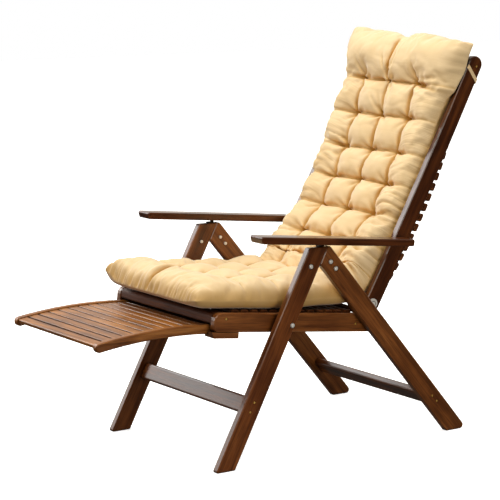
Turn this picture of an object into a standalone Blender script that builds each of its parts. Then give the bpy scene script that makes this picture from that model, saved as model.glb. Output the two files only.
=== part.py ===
"""Folding lounger: dark wooden frame, reclining slatted back, notched armrests, pull-out footrest, cushion.

Metres, +Z up. The sitter faces -Y, and the frame is symmetric about the plane X = 0.
Side outlines are drawn as (y, z) points and extruded along X.
"""
from math import acos, asin, atan2, cos, exp, hypot, pi, radians, sin, tan

import bmesh
import bpy
from mathutils import Vector

# Clearances
SEAT_GAP = 0.0003         # between pieces that touch
RUN_GAP = 0.0005          # around turning and sliding pieces
CATCH_GAP = 0.0006        # catch blade under the rack's teeth

# Whole frame
OVERALL_WIDTH = 0.600     # over the armrests

# Seat frame
SEAT_PIVOT_Y = -0.0537    # bolt that joins front legs and seat rails
SEAT_PIVOT_Z = 0.3614
SEAT_SLOPE = radians(6.4)
RAIL_THICK = 0.020
RAIL_HEIGHT = 0.050
RAIL_BELOW_PIVOT = 0.022
RAIL_FRONT = 0.226
RAIL_REAR = 0.309
RAIL_NOSE_RADIUS = 0.020
FRONT_BAR_WIDTH = 0.056
FRONT_BAR_HEIGHT = 0.028
FRONT_BAR_DROP = 0.0035   # below the rails' top edges
FRONT_BAR_SETBACK = 0.002
FRONT_BAR_RADIUS = 0.0125
REAR_BAR_AT = 0.233
REAR_BAR_WIDTH = 0.020
REAR_BAR_HEIGHT = 0.032

# Legs
LEG_GAP = 0.0078          # free space between a seat rail and the legs
LEG_THICK = 0.020
FRONT_LEG_WIDTH = 0.0535
FRONT_LEG_LEAN = radians(27.8)
FRONT_LEG_SET = 0.0175    # leg centreline ahead of the seat pivot
REAR_LEG_WIDTH = 0.0545
REAR_LEG_LEAN = radians(40.8)
APEX_HEIGHT = 0.560
CROTCH_DROP = 0.046       # below the apex, where the two legs part
HINGE_DROP = 0.049
FOOT_RADIUS = 0.005
STRETCHER_WIDTH = 0.046
STRETCHER_THICK = 0.020
FRONT_STRETCHER_UP = 0.181
REAR_STRETCHER_UP = 0.132
PEG_RADIUS = 0.008
PEG_DEPTH = 0.010
PEG_REACH = 0.024

# Leg hinge straps
STRAP_THICK = 0.003
STRAP_RADIUS = 0.0085
STRAP_BOLT_FIRST = 0.018
STRAP_BOLT_SECOND = 0.044
MORTISE_DOWN = 0.030
MORTISE_UP = 0.036

# Back frame
BACK_PIVOT_ALONG = 0.2840
BACK_PIVOT_RISE = 0.0265  # above the rail's top edge
BACK_LEAN = radians(29.2)
STILE_LENGTH = 0.7453
STILE_WIDTH = 0.047
STILE_THICK = 0.020
STILE_BOW = 0.005
STILE_TOP_RADIUS = 0.0215
TOP_BAR_WIDTH = 0.045
TOP_BAR_THICK = 0.020
EAR_THICK = 0.003
EAR_RADIUS = 0.013

# Armrests
ARM_PIVOT_UP = 0.1843
ARM_PIVOT_FORWARD = 0.010
ARM_LENGTH = 0.493        # from pivot to front end
ARM_UNDERCUT = 0.0075     # front end slants back towards its underside
ARM_TAIL = 0.0165
ARM_WIDTH = 0.0536
ARM_THICK = 0.019
ARM_INSET = 0.0039        # inner edge inside the legs' inner faces
RACK_DEPTH = 0.006
RACK_WIDTH = 0.016
RACK_PITCH = 0.030
RACK_NOTCHES = 5
NOTCH_DEPTH = 0.0038
RACK_LEAD = 0.012
CATCH_THICK = 0.003
CATCH_FOOT = 0.016
CATCH_WIDTH = 0.014
CATCH_SETBACK = 0.012     # blade ahead of the front leg's rear edge
CATCH_RISE = 0.0061       # blade tip above the legs' tops

# Slatted sling
SLAT_RISE = 0.006         # slat tops above the rails
SLAT_THICK = 0.010
SLAT_WIDTH = 0.0225
SLAT_PITCH = 0.0306
SLAT_ROUND = 0.0032       # cut off each long edge
BEARER_DEPTH = 0.010
BEARER_THICK = 0.018
BEARER_INSET = 0.070      # from the slats' ends
SLING_BEND = 0.150
SLING_SAG = radians(10.5)
SLING_TOP_DROP = 0.0343
SEAT_SLING_STOP = 0.027
BACK_SLING_START = 0.029
HEAD_BEND = 0.140         # the cushion's head lies back over the sling's top

# Footrest
FOOT_GUIDE_AT = 0.190
FOOT_DROP = 0.018
FOOT_ARC = 1.35
FOOT_HEIGHT = 0.024
FOOT_SIDE_GAP = 0.0075
FOOT_RAIL_THICK = 0.018
FOOT_REACH = 0.368
FOOT_TIP_RADIUS = 0.0108  # front ends of the rails
FOOT_TAIL = 0.050
NOSE_SETBACK = 0.005      # front slat behind the rails' tips
NOSE_WIDTH = 0.0265
FOOT_SLATS = 12
FOOT_SLAT_GAP = 0.0054
FOOT_SLAT_DROP = 0.0038   # below the rails' tops
FOOT_SLAT_THICK = 0.011
FOOT_END_WIDTH = 0.022
GUIDE_HALF = 0.042
GUIDE_DEPTH = 0.016
GUIDE_LIP = 0.021

# Bolts
BOLT_RADIUS = 0.003
HEAD_RADIUS = 0.0065
HEAD_HEIGHT = 0.0042
NUT_HEIGHT = 0.0045
NUT_RADIUS = 0.0042
WASHER_RADIUS = 0.0145
WASHER_THICK = 0.0018
SPACER_RADIUS = 0.009
ARM_BOLT_DEPTH = 0.028

# Cushion
CUSHION_GAP = 0.0006
CUSHION_CROWN = 0.088
CUSHION_TUFT = 0.050
CUSHION_EDGE = 0.030
CUSHION_CORNER = 0.016
END_ROUND_CELLS = 0.55    # share of a cell over which an end rounds off
SIDE_ROUND_CELLS = 0.70
CUSHION_OVERLAP = 0.0135  # past the rails' inner faces, over the seat and at the head
CUSHION_FRONT = 0.060     # overhang past the rails' front ends
CUSHION_HEAD = 0.076      # reach past the top of the sling
CUSHION_MITRE = 0.0015
CELLS_ACROSS = 4
CELLS_SEAT = 5
CELLS_BACK = 7
CELL_STEPS = 5
TUFT_REACH = 0.34         # in cells
SEAM_REACH = 0.16
SEAM_DEPTH = 0.35         # share of the crown
DRAWN_IN = 0.006
TUCK_IN = 0.022           # underside narrower than the widest line
HEAD_LEAD = 0.030         # widening starts this far below the top of the sling
CUSHION_WIDENING = 0.050
CORNER_FILL = 0.022
CORNER_FILL_REACH = 0.090

# Edge rounding of the boards
BOARD_BEVEL = 0.0022
PLATE_BEVEL = 0.0006
DOME_STEPS = ((0.0, 1.0), (0.35, 1.0), (0.8, 0.72), (1.0, 0.35))  # shares of height and radius

# Planes across the frame, from the armrests inwards
ARM_OUTER = OVERALL_WIDTH / 2
ARM_INNER = ARM_OUTER - ARM_WIDTH
LEG_INNER = ARM_INNER + ARM_INSET
RAIL_OUTER = LEG_INNER - LEG_GAP
SEAT_INNER = RAIL_OUTER - RAIL_THICK
CUSHION_WIDE = SEAT_INNER + CUSHION_OVERLAP
LEG_OUTER = LEG_INNER + LEG_THICK
LEG_MIDDLE = (LEG_INNER + LEG_OUTER) / 2
EAR_OUTER = SEAT_INNER - SEAT_GAP
EAR_INNER = EAR_OUTER - EAR_THICK
STILE_INNER = SEAT_INNER
STILE_OUTER = STILE_INNER + STILE_THICK
INSIDE = SEAT_INNER - SEAT_GAP
FOOT_OUTER = SEAT_INNER - FOOT_SIDE_GAP
FOOT_INNER = FOOT_OUTER - FOOT_RAIL_THICK

RAIL_TOP = RAIL_HEIGHT - RAIL_BELOW_PIVOT
SLAT_TOP = RAIL_TOP + SLAT_RISE
BEARER_BOTTOM = SLAT_TOP - SLAT_THICK - BEARER_DEPTH
CROSSBAR_TOP = BEARER_BOTTOM - SEAT_GAP

SIDES = (("left", 1), ("right", -1))

for leftover in list(bpy.data.objects):
    bpy.data.objects.remove(leftover, do_unlink=True)


# Finishes
FINISHES = {
    "walnut_stained_wood": ((0.075, 0.028, 0.012), 0.38, 0.0),
    "honey_stained_wood": ((0.150, 0.062, 0.030), 0.32, 0.0),
    "zinc_plated_steel": ((0.62, 0.61, 0.58), 0.30, 1.0),
    "cream_cotton": ((0.86, 0.62, 0.30), 0.85, 0.0),
}


def finish(name):
    material = bpy.data.materials.get(name)
    if material:
        return material
    colour, roughness, metallic = FINISHES[name]
    material = bpy.data.materials.new(name)
    material.use_nodes = True
    shader = material.node_tree.nodes["Principled BSDF"]
    shader.inputs["Base Color"].default_value = (*colour, 1.0)
    shader.inputs["Roughness"].default_value = roughness
    shader.inputs["Metallic"].default_value = metallic
    return material


# Joint empties carry the moving pieces
def joint_empty(name, place, parent=None):
    empty = bpy.data.objects.new(name, None)
    empty.location = (0.0, place.x, place.y)
    bpy.context.collection.objects.link(empty)
    if parent:
        empty.parent = parent
        empty.location -= parent.matrix_world.translation
    bpy.context.view_layer.update()
    return empty


def keep(name, bm, material, carrier, smooth_angle=radians(35)):
    """Store a bmesh drawn in world coordinates as an object on its carrier."""
    bmesh.ops.recalc_face_normals(bm, faces=bm.faces)
    anchor = carrier.matrix_world.translation
    bmesh.ops.translate(bm, verts=bm.verts, vec=-anchor)
    mesh = bpy.data.meshes.new(name)
    bm.to_mesh(mesh)
    bm.free()
    mesh.shade_smooth()
    mesh.set_sharp_from_angle(angle=smooth_angle)
    mesh.materials.append(finish(material))
    obj = bpy.data.objects.new(name, mesh)
    bpy.context.collection.objects.link(obj)
    obj.parent = carrier
    return obj


# Outlines in the side plane
def rounded(corners, steps=4):
    """Outline with each (point, radius) corner rounded by an arc."""
    outline = []
    count = len(corners)
    for i, (corner, radius) in enumerate(corners):
        before = (corners[i - 1][0] - corner).normalized()
        after = (corners[(i + 1) % count][0] - corner).normalized()
        half = before.angle(after) / 2
        if radius <= 0.0:
            outline.append(corner)
            continue
        inset = radius / tan(half)
        centre = corner + (before + after).normalized() * (radius / sin(half))
        start = corner + before * inset - centre
        sweep = start.angle_signed(corner + after * inset - centre)
        for k in range(steps + 1):
            outline.append(centre + turn(start, -sweep * k / steps))
    return outline


def turn(vector, angle):
    across = vector.x * cos(angle) - vector.y * sin(angle)
    return Vector((across, vector.x * sin(angle) + vector.y * cos(angle)))


def meet(point, way, other, other_way):
    """Where two lines in the side plane cross."""
    gap = other - point
    cross = way.x * other_way.y - way.y * other_way.x
    return point + way * ((gap.x * other_way.y - gap.y * other_way.x) / cross)


def strap_outline(points, radius, steps=6):
    """Round-ended band of constant width along a bent line."""
    left = []
    right = []
    last = len(points) - 1
    for i, point in enumerate(points):
        way_in = (point - points[i - 1]).normalized() if i else (points[1] - point).normalized()
        way_out = (points[i + 1] - point).normalized() if i < last else way_in
        way = (way_in + way_out).normalized()
        side = Vector((-way.y, way.x)) * (radius / way.dot(way_in))
        left.append(point + side)
        right.append(point - side)
    start_way = (points[1] - points[0]).normalized()
    end_way = (points[last] - points[last - 1]).normalized()
    end_side = Vector((end_way.y, -end_way.x)) * radius
    start_side = Vector((-start_way.y, start_way.x)) * radius
    cap_end = [points[last] + turn(end_side, pi * k / steps) for k in range(1, steps)]
    cap_start = [points[0] + turn(start_side, pi * k / steps) for k in range(1, steps)]
    return right + cap_end + left[::-1] + cap_start


def sheet_between(bm, outline, x_from, x_to):
    """Extrude a side outline between two planes across the frame."""
    low = [bm.verts.new((x_from, p.x, p.y)) for p in outline]
    face = bm.faces.new(low)
    extruded = bmesh.ops.extrude_face_region(bm, geom=[face])
    moved = [item for item in extruded["geom"] if isinstance(item, bmesh.types.BMVert)]
    bmesh.ops.translate(bm, verts=moved, vec=(x_to - x_from, 0.0, 0.0))


def board(name, outline, x_from, x_to, material, carrier, bevel=BOARD_BEVEL, segments=1):
    bm = bmesh.new()
    sheet_between(bm, outline, x_from, x_to)
    obj = keep(name, bm, material, carrier)
    if bevel:
        rounding = obj.modifiers.new("edge_rounding", "BEVEL")
        rounding.width = bevel
        rounding.segments = segments
        rounding.limit_method = "ANGLE"
        rounding.angle_limit = radians(50)
    return obj


def side_board(name, side, outline, x_inner, x_outer, material, carrier, bevel=BOARD_BEVEL):
    return board(name, outline, side * x_inner, side * x_outer, material, carrier, bevel)


def turned(bm, centre, profile, sides=16):
    """Turned piece along X: profile holds (x, radius) pairs."""
    rings = []
    for x, radius in profile:
        spokes = [turn(Vector((radius, 0.0)), 2 * pi * k / sides) for k in range(sides)]
        rings.append([bm.verts.new((x, centre.x + spoke.x, centre.y + spoke.y)) for spoke in spokes])
    for ring, following in zip(rings, rings[1:]):
        for k in range(sides):
            bm.faces.new((ring[k], ring[(k + 1) % sides], following[(k + 1) % sides], following[k]))
    bm.faces.new(rings[0][::-1])
    bm.faces.new(rings[-1])


def cut(obj, name, bm):
    """Take a cutter drawn in world coordinates out of a piece."""
    cutter = keep(name, bm, "walnut_stained_wood", obj.parent)
    cutter.hide_render = True
    cutter.display_type = "WIRE"
    bore = obj.modifiers.new(name, "BOOLEAN")
    bore.operation = "DIFFERENCE"
    bore.solver = "EXACT"
    bore.object = cutter


def drill(obj, side, centre, radius, x_from, x_to, name):
    bm = bmesh.new()
    turned(bm, centre, [(side * x_from, radius), (side * x_to, radius)])
    cut(obj, name, bm)


def dome(x_face, way, radius, height):
    """Profile of a low domed head standing on a face."""
    return [(x_face + way * height * rise, radius * spread) for rise, spread in DOME_STEPS]


def bolt(name, side, centre, profile, carrier):
    bm = bmesh.new()
    turned(bm, centre, [(side * x, radius) for x, radius in profile])
    return keep(name, bm, "zinc_plated_steel", carrier, radians(50))


# Places in the side plane
SEAT_WAY = Vector((cos(SEAT_SLOPE), -sin(SEAT_SLOPE)))
SEAT_UP = Vector((sin(SEAT_SLOPE), cos(SEAT_SLOPE)))
SEAT_PIVOT = Vector((SEAT_PIVOT_Y, SEAT_PIVOT_Z))


def on_seat(along, up):
    return SEAT_PIVOT + SEAT_WAY * along + SEAT_UP * up


FRONT_WAY = Vector((sin(FRONT_LEG_LEAN), cos(FRONT_LEG_LEAN)))
FRONT_ACROSS = Vector((cos(FRONT_LEG_LEAN), -sin(FRONT_LEG_LEAN)))
LEVEL = Vector((1.0, 0.0))
FLOOR = Vector((0.0, 0.0))
APEX = Vector((0.0, APEX_HEIGHT))
FRONT_LINE = SEAT_PIVOT - FRONT_ACROSS * FRONT_LEG_SET
FRONT_FOOT = meet(FRONT_LINE, FRONT_WAY, FLOOR, LEVEL)
FRONT_REAR_EDGE = FRONT_LINE + FRONT_ACROSS * (FRONT_LEG_WIDTH / 2)
LEG_HINGE = meet(FRONT_LINE, FRONT_WAY, APEX - Vector((0.0, HINGE_DROP)), LEVEL)


def on_front_leg(along, across):
    return FRONT_FOOT + FRONT_WAY * along + FRONT_ACROSS * across


REAR_WAY = Vector((sin(REAR_LEG_LEAN), -cos(REAR_LEG_LEAN)))
REAR_ACROSS = Vector((cos(REAR_LEG_LEAN), sin(REAR_LEG_LEAN)))
BUTT_EDGE = FRONT_REAR_EDGE + FRONT_ACROSS * SEAT_GAP
CROTCH = meet(BUTT_EDGE, FRONT_WAY, APEX - Vector((0.0, CROTCH_DROP)), LEVEL)
REAR_LINE = CROTCH + REAR_ACROSS * (REAR_LEG_WIDTH / 2)
REAR_FOOT = meet(REAR_LINE, REAR_WAY, FLOOR, LEVEL)


def on_rear_leg(along, across=0.0):
    return REAR_LINE + REAR_WAY * along + REAR_ACROSS * across


BACK_PIVOT = on_seat(BACK_PIVOT_ALONG, RAIL_TOP + BACK_PIVOT_RISE)
BACK_WAY = Vector((sin(BACK_LEAN), cos(BACK_LEAN)))
BACK_FORWARD = Vector((-cos(BACK_LEAN), sin(BACK_LEAN)))


def on_back(up, forward):
    return BACK_PIVOT + BACK_WAY * up + BACK_FORWARD * forward


def stile_line(up):
    """Offset of the stile's bowed centreline from its straight chord."""
    share = up / STILE_LENGTH
    return -4.0 * STILE_BOW * share * (1.0 - share)


ARM_PIVOT = on_back(ARM_PIVOT_UP, ARM_PIVOT_FORWARD)
CATCH_BASE = meet(FRONT_REAR_EDGE, FRONT_WAY, APEX, LEVEL) + Vector((-CATCH_SETBACK, SEAT_GAP))
CATCH_TIP = CATCH_BASE + Vector((0.0, CATCH_RISE))
ARM_SPAN = CATCH_TIP - ARM_PIVOT
ARM_ANGLE = atan2(ARM_SPAN.y, -ARM_SPAN.x) + asin((ARM_THICK / 2 + CATCH_GAP) / ARM_SPAN.length)
ARM_WAY = Vector((-cos(ARM_ANGLE), sin(ARM_ANGLE)))
ARM_UP = Vector((sin(ARM_ANGLE), cos(ARM_ANGLE)))


def on_arm(forward, up):
    return ARM_PIVOT + ARM_WAY * forward + ARM_UP * up


FOOT_CENTRE = on_seat(-FOOT_GUIDE_AT, -FOOT_DROP - FOOT_ARC)


def on_foot_arc(along, radius):
    """Point on the footrest's arc, along measured rearwards from the guides."""
    angle = SEAT_SLOPE + along / FOOT_ARC
    return FOOT_CENTRE + Vector((sin(angle), cos(angle))) * radius


FOOT_TOP = FOOT_ARC + FOOT_HEIGHT / 2
FOOT_UNDER = FOOT_ARC - FOOT_HEIGHT / 2


def arc_sector(along_from, along_to, radius_low, radius_high, steps):
    span = along_to - along_from
    upper = [on_foot_arc(along_from + span * k / steps, radius_high) for k in range(steps + 1)]
    lower = [on_foot_arc(along_to - span * k / steps, radius_low) for k in range(steps + 1)]
    return lower + upper


# The sling's side line: along the seat, round the back pivot, up the back
SLING_TURN = acos(1.0 - (BACK_PIVOT_RISE - SLAT_RISE) / SLING_BEND)
SEAT_BEND_LENGTH = SLING_BEND * SLING_TURN
SEAT_BEND_ALONG = BACK_PIVOT_ALONG - SLING_BEND * sin(SLING_TURN)
BACK_START = SLING_TURN - SEAT_SLOPE + BACK_LEAN - pi / 2
BEND_TURN = -SLING_SAG - BACK_START
BACK_BEND_LENGTH = SLING_BEND * BEND_TURN
BEND_UP = SLING_BEND * (sin(-SLING_SAG) - sin(BACK_START))
BEND_FORWARD = SLING_BEND * (cos(BACK_START) - cos(-SLING_SAG))
SLING_TOP_UP = STILE_LENGTH - SLING_TOP_DROP
SLING_TOP_FORWARD = STILE_WIDTH / 2 + stile_line(SLING_TOP_UP)
SAG_CHORD = Vector((SLING_TOP_UP - BEND_UP, SLING_TOP_FORWARD - BEND_FORWARD))
SAG_TURN = 2.0 * (atan2(SAG_CHORD.y, SAG_CHORD.x) + SLING_SAG)
SAG_RADIUS = SAG_CHORD.length / (2.0 * sin(SAG_TURN / 2))
SAG_LENGTH = SAG_RADIUS * SAG_TURN
BACK_SLING_LENGTH = BACK_BEND_LENGTH + SAG_LENGTH


def seat_sling(before, height):
    """Point over the seat sling: before is the way still to go to the back pivot."""
    if before >= SEAT_BEND_LENGTH:
        return on_seat(SEAT_BEND_ALONG - (before - SEAT_BEND_LENGTH), SLAT_TOP + height)
    angle = SLING_TURN - before / SLING_BEND
    reach = SLING_BEND - height
    return on_seat(SEAT_BEND_ALONG + reach * sin(angle), SLAT_TOP + SLING_BEND - reach * cos(angle))


def back_sling(past, height):
    """Point over the back sling: past is the way gone from the back pivot."""
    if past <= BACK_BEND_LENGTH:
        angle = BACK_START + past / SLING_BEND
        up = SLING_BEND * (sin(angle) - sin(BACK_START))
        forward = SLING_BEND * (cos(BACK_START) - cos(angle))
    else:
        slant = min((past - BACK_BEND_LENGTH) / SAG_RADIUS, SAG_TURN) - SLING_SAG
        angle = slant - max(past - BACK_SLING_LENGTH, 0.0) / HEAD_BEND
        up = BEND_UP + SAG_RADIUS * (sin(slant) + sin(SLING_SAG))
        up += HEAD_BEND * (sin(slant) - sin(angle))
        forward = BEND_FORWARD + SAG_RADIUS * (cos(SLING_SAG) - cos(slant))
        forward += HEAD_BEND * (cos(angle) - cos(slant))
    return on_back(up - height * sin(angle), forward + height * cos(angle))


# Carriers: the seat frame is fixed, the others turn about their joints
seat_frame = joint_empty("seat_frame", SEAT_PIVOT)
front_legs = joint_empty("front_legs", SEAT_PIVOT)
rear_legs = joint_empty("rear_legs", LEG_HINGE, front_legs)
back_frame = joint_empty("back_frame", BACK_PIVOT)
arm_left = joint_empty("armrest_turn_left", ARM_PIVOT, back_frame)
arm_right = joint_empty("armrest_turn_right", ARM_PIVOT, back_frame)
footrest = joint_empty("footrest_swing", FOOT_CENTRE)


def build_seat():
    nose = on_seat(-RAIL_FRONT, RAIL_TOP)
    chin = on_seat(-RAIL_FRONT, -RAIL_BELOW_PIVOT)
    heel = on_seat(RAIL_REAR, -RAIL_BELOW_PIVOT)
    shoulder = on_seat(RAIL_REAR, RAIL_TOP)
    rail_outline = rounded([(nose, RAIL_NOSE_RADIUS), (chin, RAIL_NOSE_RADIUS / 2), (heel, FOOT_RADIUS),
                            (shoulder, FOOT_RADIUS)])
    guide_top = -RAIL_BELOW_PIVOT - SEAT_GAP
    guide_low = -RAIL_BELOW_PIVOT - GUIDE_DEPTH
    guide_outline = [on_seat(-FOOT_GUIDE_AT - GUIDE_HALF, guide_top),
                     on_seat(-FOOT_GUIDE_AT - GUIDE_HALF + GUIDE_DEPTH / 2, guide_low),
                     on_seat(-FOOT_GUIDE_AT + GUIDE_HALF, guide_low),
                     on_seat(-FOOT_GUIDE_AT + GUIDE_HALF, guide_top)]
    run_outline = arc_sector(-2 * GUIDE_HALF, 2 * GUIDE_HALF, FOOT_UNDER - RUN_GAP, FOOT_TOP, 8)
    ear_stem = on_seat(BACK_PIVOT_ALONG, 0.0)
    ear_outline = strap_outline([ear_stem, BACK_PIVOT], EAR_RADIUS)
    for name, side in SIDES:
        rail = side_board("seat_rail_" + name, side, rail_outline, SEAT_INNER, RAIL_OUTER,
                          "walnut_stained_wood", seat_frame)
        drill(rail, side, SEAT_PIVOT, BOLT_RADIUS + RUN_GAP, SEAT_INNER - BOLT_RADIUS, RAIL_OUTER + BOLT_RADIUS,
              "seat_bolt_hole_" + name)
        guide = side_board("footrest_guide_" + name, side, guide_outline, SEAT_INNER - GUIDE_LIP, RAIL_OUTER,
                           "walnut_stained_wood", seat_frame, 0.0)
        bm = bmesh.new()
        sheet_between(bm, run_outline, side * (FOOT_INNER - GUIDE_LIP), side * SEAT_INNER)
        cut(guide, "footrest_run_" + name, bm)
        ear = side_board("back_ear_" + name, side, ear_outline, EAR_INNER, EAR_OUTER, "zinc_plated_steel",
                         seat_frame, PLATE_BEVEL)
        drill(ear, side, BACK_PIVOT, BOLT_RADIUS + RUN_GAP, EAR_INNER - BOLT_RADIUS, EAR_OUTER + BOLT_RADIUS,
              "ear_hole_" + name)
        inner_face = SEAT_INNER - SEAT_GAP
        spacer_from = RAIL_OUTER + SEAT_GAP
        spacer_to = LEG_INNER - SEAT_GAP
        outer_face = LEG_OUTER + SEAT_GAP
        bolt("seat_pivot_bolt_" + name, side, SEAT_PIVOT,
             [(inner_face - NUT_HEIGHT, NUT_RADIUS), (inner_face, NUT_RADIUS), (inner_face, BOLT_RADIUS),
              (spacer_from, BOLT_RADIUS), (spacer_from, SPACER_RADIUS), (spacer_to, SPACER_RADIUS),
              (spacer_to, BOLT_RADIUS), (outer_face, BOLT_RADIUS)]
             + dome(outer_face, 1, HEAD_RADIUS, HEAD_HEIGHT), seat_frame)
    bar_front = FRONT_BAR_SETBACK - RAIL_FRONT
    bar_back = bar_front + FRONT_BAR_WIDTH
    bar_top = RAIL_TOP - FRONT_BAR_DROP
    bar_low = bar_top - FRONT_BAR_HEIGHT
    front_bar = rounded([(on_seat(bar_front, bar_top), FRONT_BAR_RADIUS),
                         (on_seat(bar_front, bar_low), FOOT_RADIUS),
                         (on_seat(bar_back, bar_low), FOOT_RADIUS),
                         (on_seat(bar_back, bar_top), FOOT_RADIUS)])
    board("seat_front_bar", front_bar, -INSIDE, INSIDE, "walnut_stained_wood", seat_frame, 0.0)
    rear_from = REAR_BAR_AT - REAR_BAR_WIDTH / 2
    rear_to = REAR_BAR_AT + REAR_BAR_WIDTH / 2
    rear_low = CROSSBAR_TOP - REAR_BAR_HEIGHT
    rear_bar = rounded([(on_seat(rear_from, CROSSBAR_TOP), FOOT_RADIUS),
                        (on_seat(rear_from, rear_low), FOOT_RADIUS),
                        (on_seat(rear_to, rear_low), FOOT_RADIUS),
                        (on_seat(rear_to, CROSSBAR_TOP), FOOT_RADIUS)])
    board("seat_rear_bar", rear_bar, -INSIDE, INSIDE, "walnut_stained_wood", seat_frame, 0.0)


def stretcher(name, centre, way, across, carrier):
    half_way = way * (STRETCHER_WIDTH / 2)
    half_across = across * (STRETCHER_THICK / 2)
    corners = (centre - half_way - half_across, centre - half_way + half_across,
               centre + half_way + half_across, centre + half_way - half_across)
    outline = rounded([(corner, FOOT_RADIUS) for corner in corners])
    board(name, outline, SEAT_GAP - LEG_INNER, LEG_INNER - SEAT_GAP, "walnut_stained_wood", carrier, 0.0)


def build_front_legs():
    front_edge = FRONT_LINE - FRONT_ACROSS * (FRONT_LEG_WIDTH / 2)
    outline = rounded([(meet(front_edge, FRONT_WAY, FLOOR, LEVEL), FOOT_RADIUS),
                       (meet(FRONT_REAR_EDGE, FRONT_WAY, FLOOR, LEVEL), FOOT_RADIUS),
                       (meet(FRONT_REAR_EDGE, FRONT_WAY, APEX, LEVEL), 0.0),
                       (meet(front_edge, FRONT_WAY, APEX, LEVEL), FOOT_RADIUS)])
    hinge_up = (LEG_HINGE - FRONT_FOOT).dot(FRONT_WAY)
    mortise_front = -STRAP_RADIUS - 2 * RUN_GAP
    mortise = [on_front_leg(hinge_up - MORTISE_DOWN, mortise_front),
               on_front_leg(hinge_up - MORTISE_DOWN, FRONT_LEG_WIDTH),
               on_front_leg(hinge_up + MORTISE_UP, FRONT_LEG_WIDTH),
               on_front_leg(hinge_up + MORTISE_UP, mortise_front)]
    half_slot = STRAP_THICK / 2 + SEAT_GAP
    blade = CATCH_THICK / 2
    catch = [CATCH_BASE + Vector((-CATCH_FOOT, 0.0)), CATCH_BASE + Vector((blade, 0.0)),
             CATCH_TIP + Vector((blade, -blade)), CATCH_TIP + Vector((0.0, 0.0)),
             CATCH_TIP + Vector((-blade, -blade)), CATCH_BASE + Vector((-blade, CATCH_THICK)),
             CATCH_BASE + Vector((-CATCH_FOOT, CATCH_THICK))]
    for name, side in SIDES:
        leg = side_board("front_leg_" + name, side, outline, LEG_INNER, LEG_OUTER,
                         "walnut_stained_wood", front_legs)
        bm = bmesh.new()
        sheet_between(bm, mortise, side * (LEG_MIDDLE - half_slot), side * (LEG_MIDDLE + half_slot))
        cut(leg, "hinge_mortise_" + name, bm)
        for centre, label in ((SEAT_PIVOT, "seat"), (LEG_HINGE, "hinge")):
            drill(leg, side, centre, BOLT_RADIUS + RUN_GAP, LEG_INNER - BOLT_RADIUS, LEG_OUTER + BOLT_RADIUS,
                  label + "_hole_front_" + name)
        side_board("armrest_catch_" + name, side, catch, LEG_MIDDLE - CATCH_WIDTH / 2,
                   LEG_MIDDLE + CATCH_WIDTH / 2, "zinc_plated_steel", front_legs, 0.0)
        through_bolt("leg_hinge_bolt_" + name, side, LEG_HINGE, front_legs)
    stretcher("front_stretcher", on_front_leg(FRONT_STRETCHER_UP, 0.0), FRONT_WAY, FRONT_ACROSS, front_legs)


def through_bolt(name, side, centre, carrier):
    """Bolt through a leg, with a domed head outside and a nut inside."""
    inner_face = LEG_INNER - SEAT_GAP
    outer_face = LEG_OUTER + SEAT_GAP
    bolt(name, side, centre,
         [(inner_face - NUT_HEIGHT, NUT_RADIUS), (inner_face, NUT_RADIUS), (inner_face, BOLT_RADIUS),
          (outer_face, BOLT_RADIUS)] + dome(outer_face, 1, HEAD_RADIUS, HEAD_HEIGHT), carrier)


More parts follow.
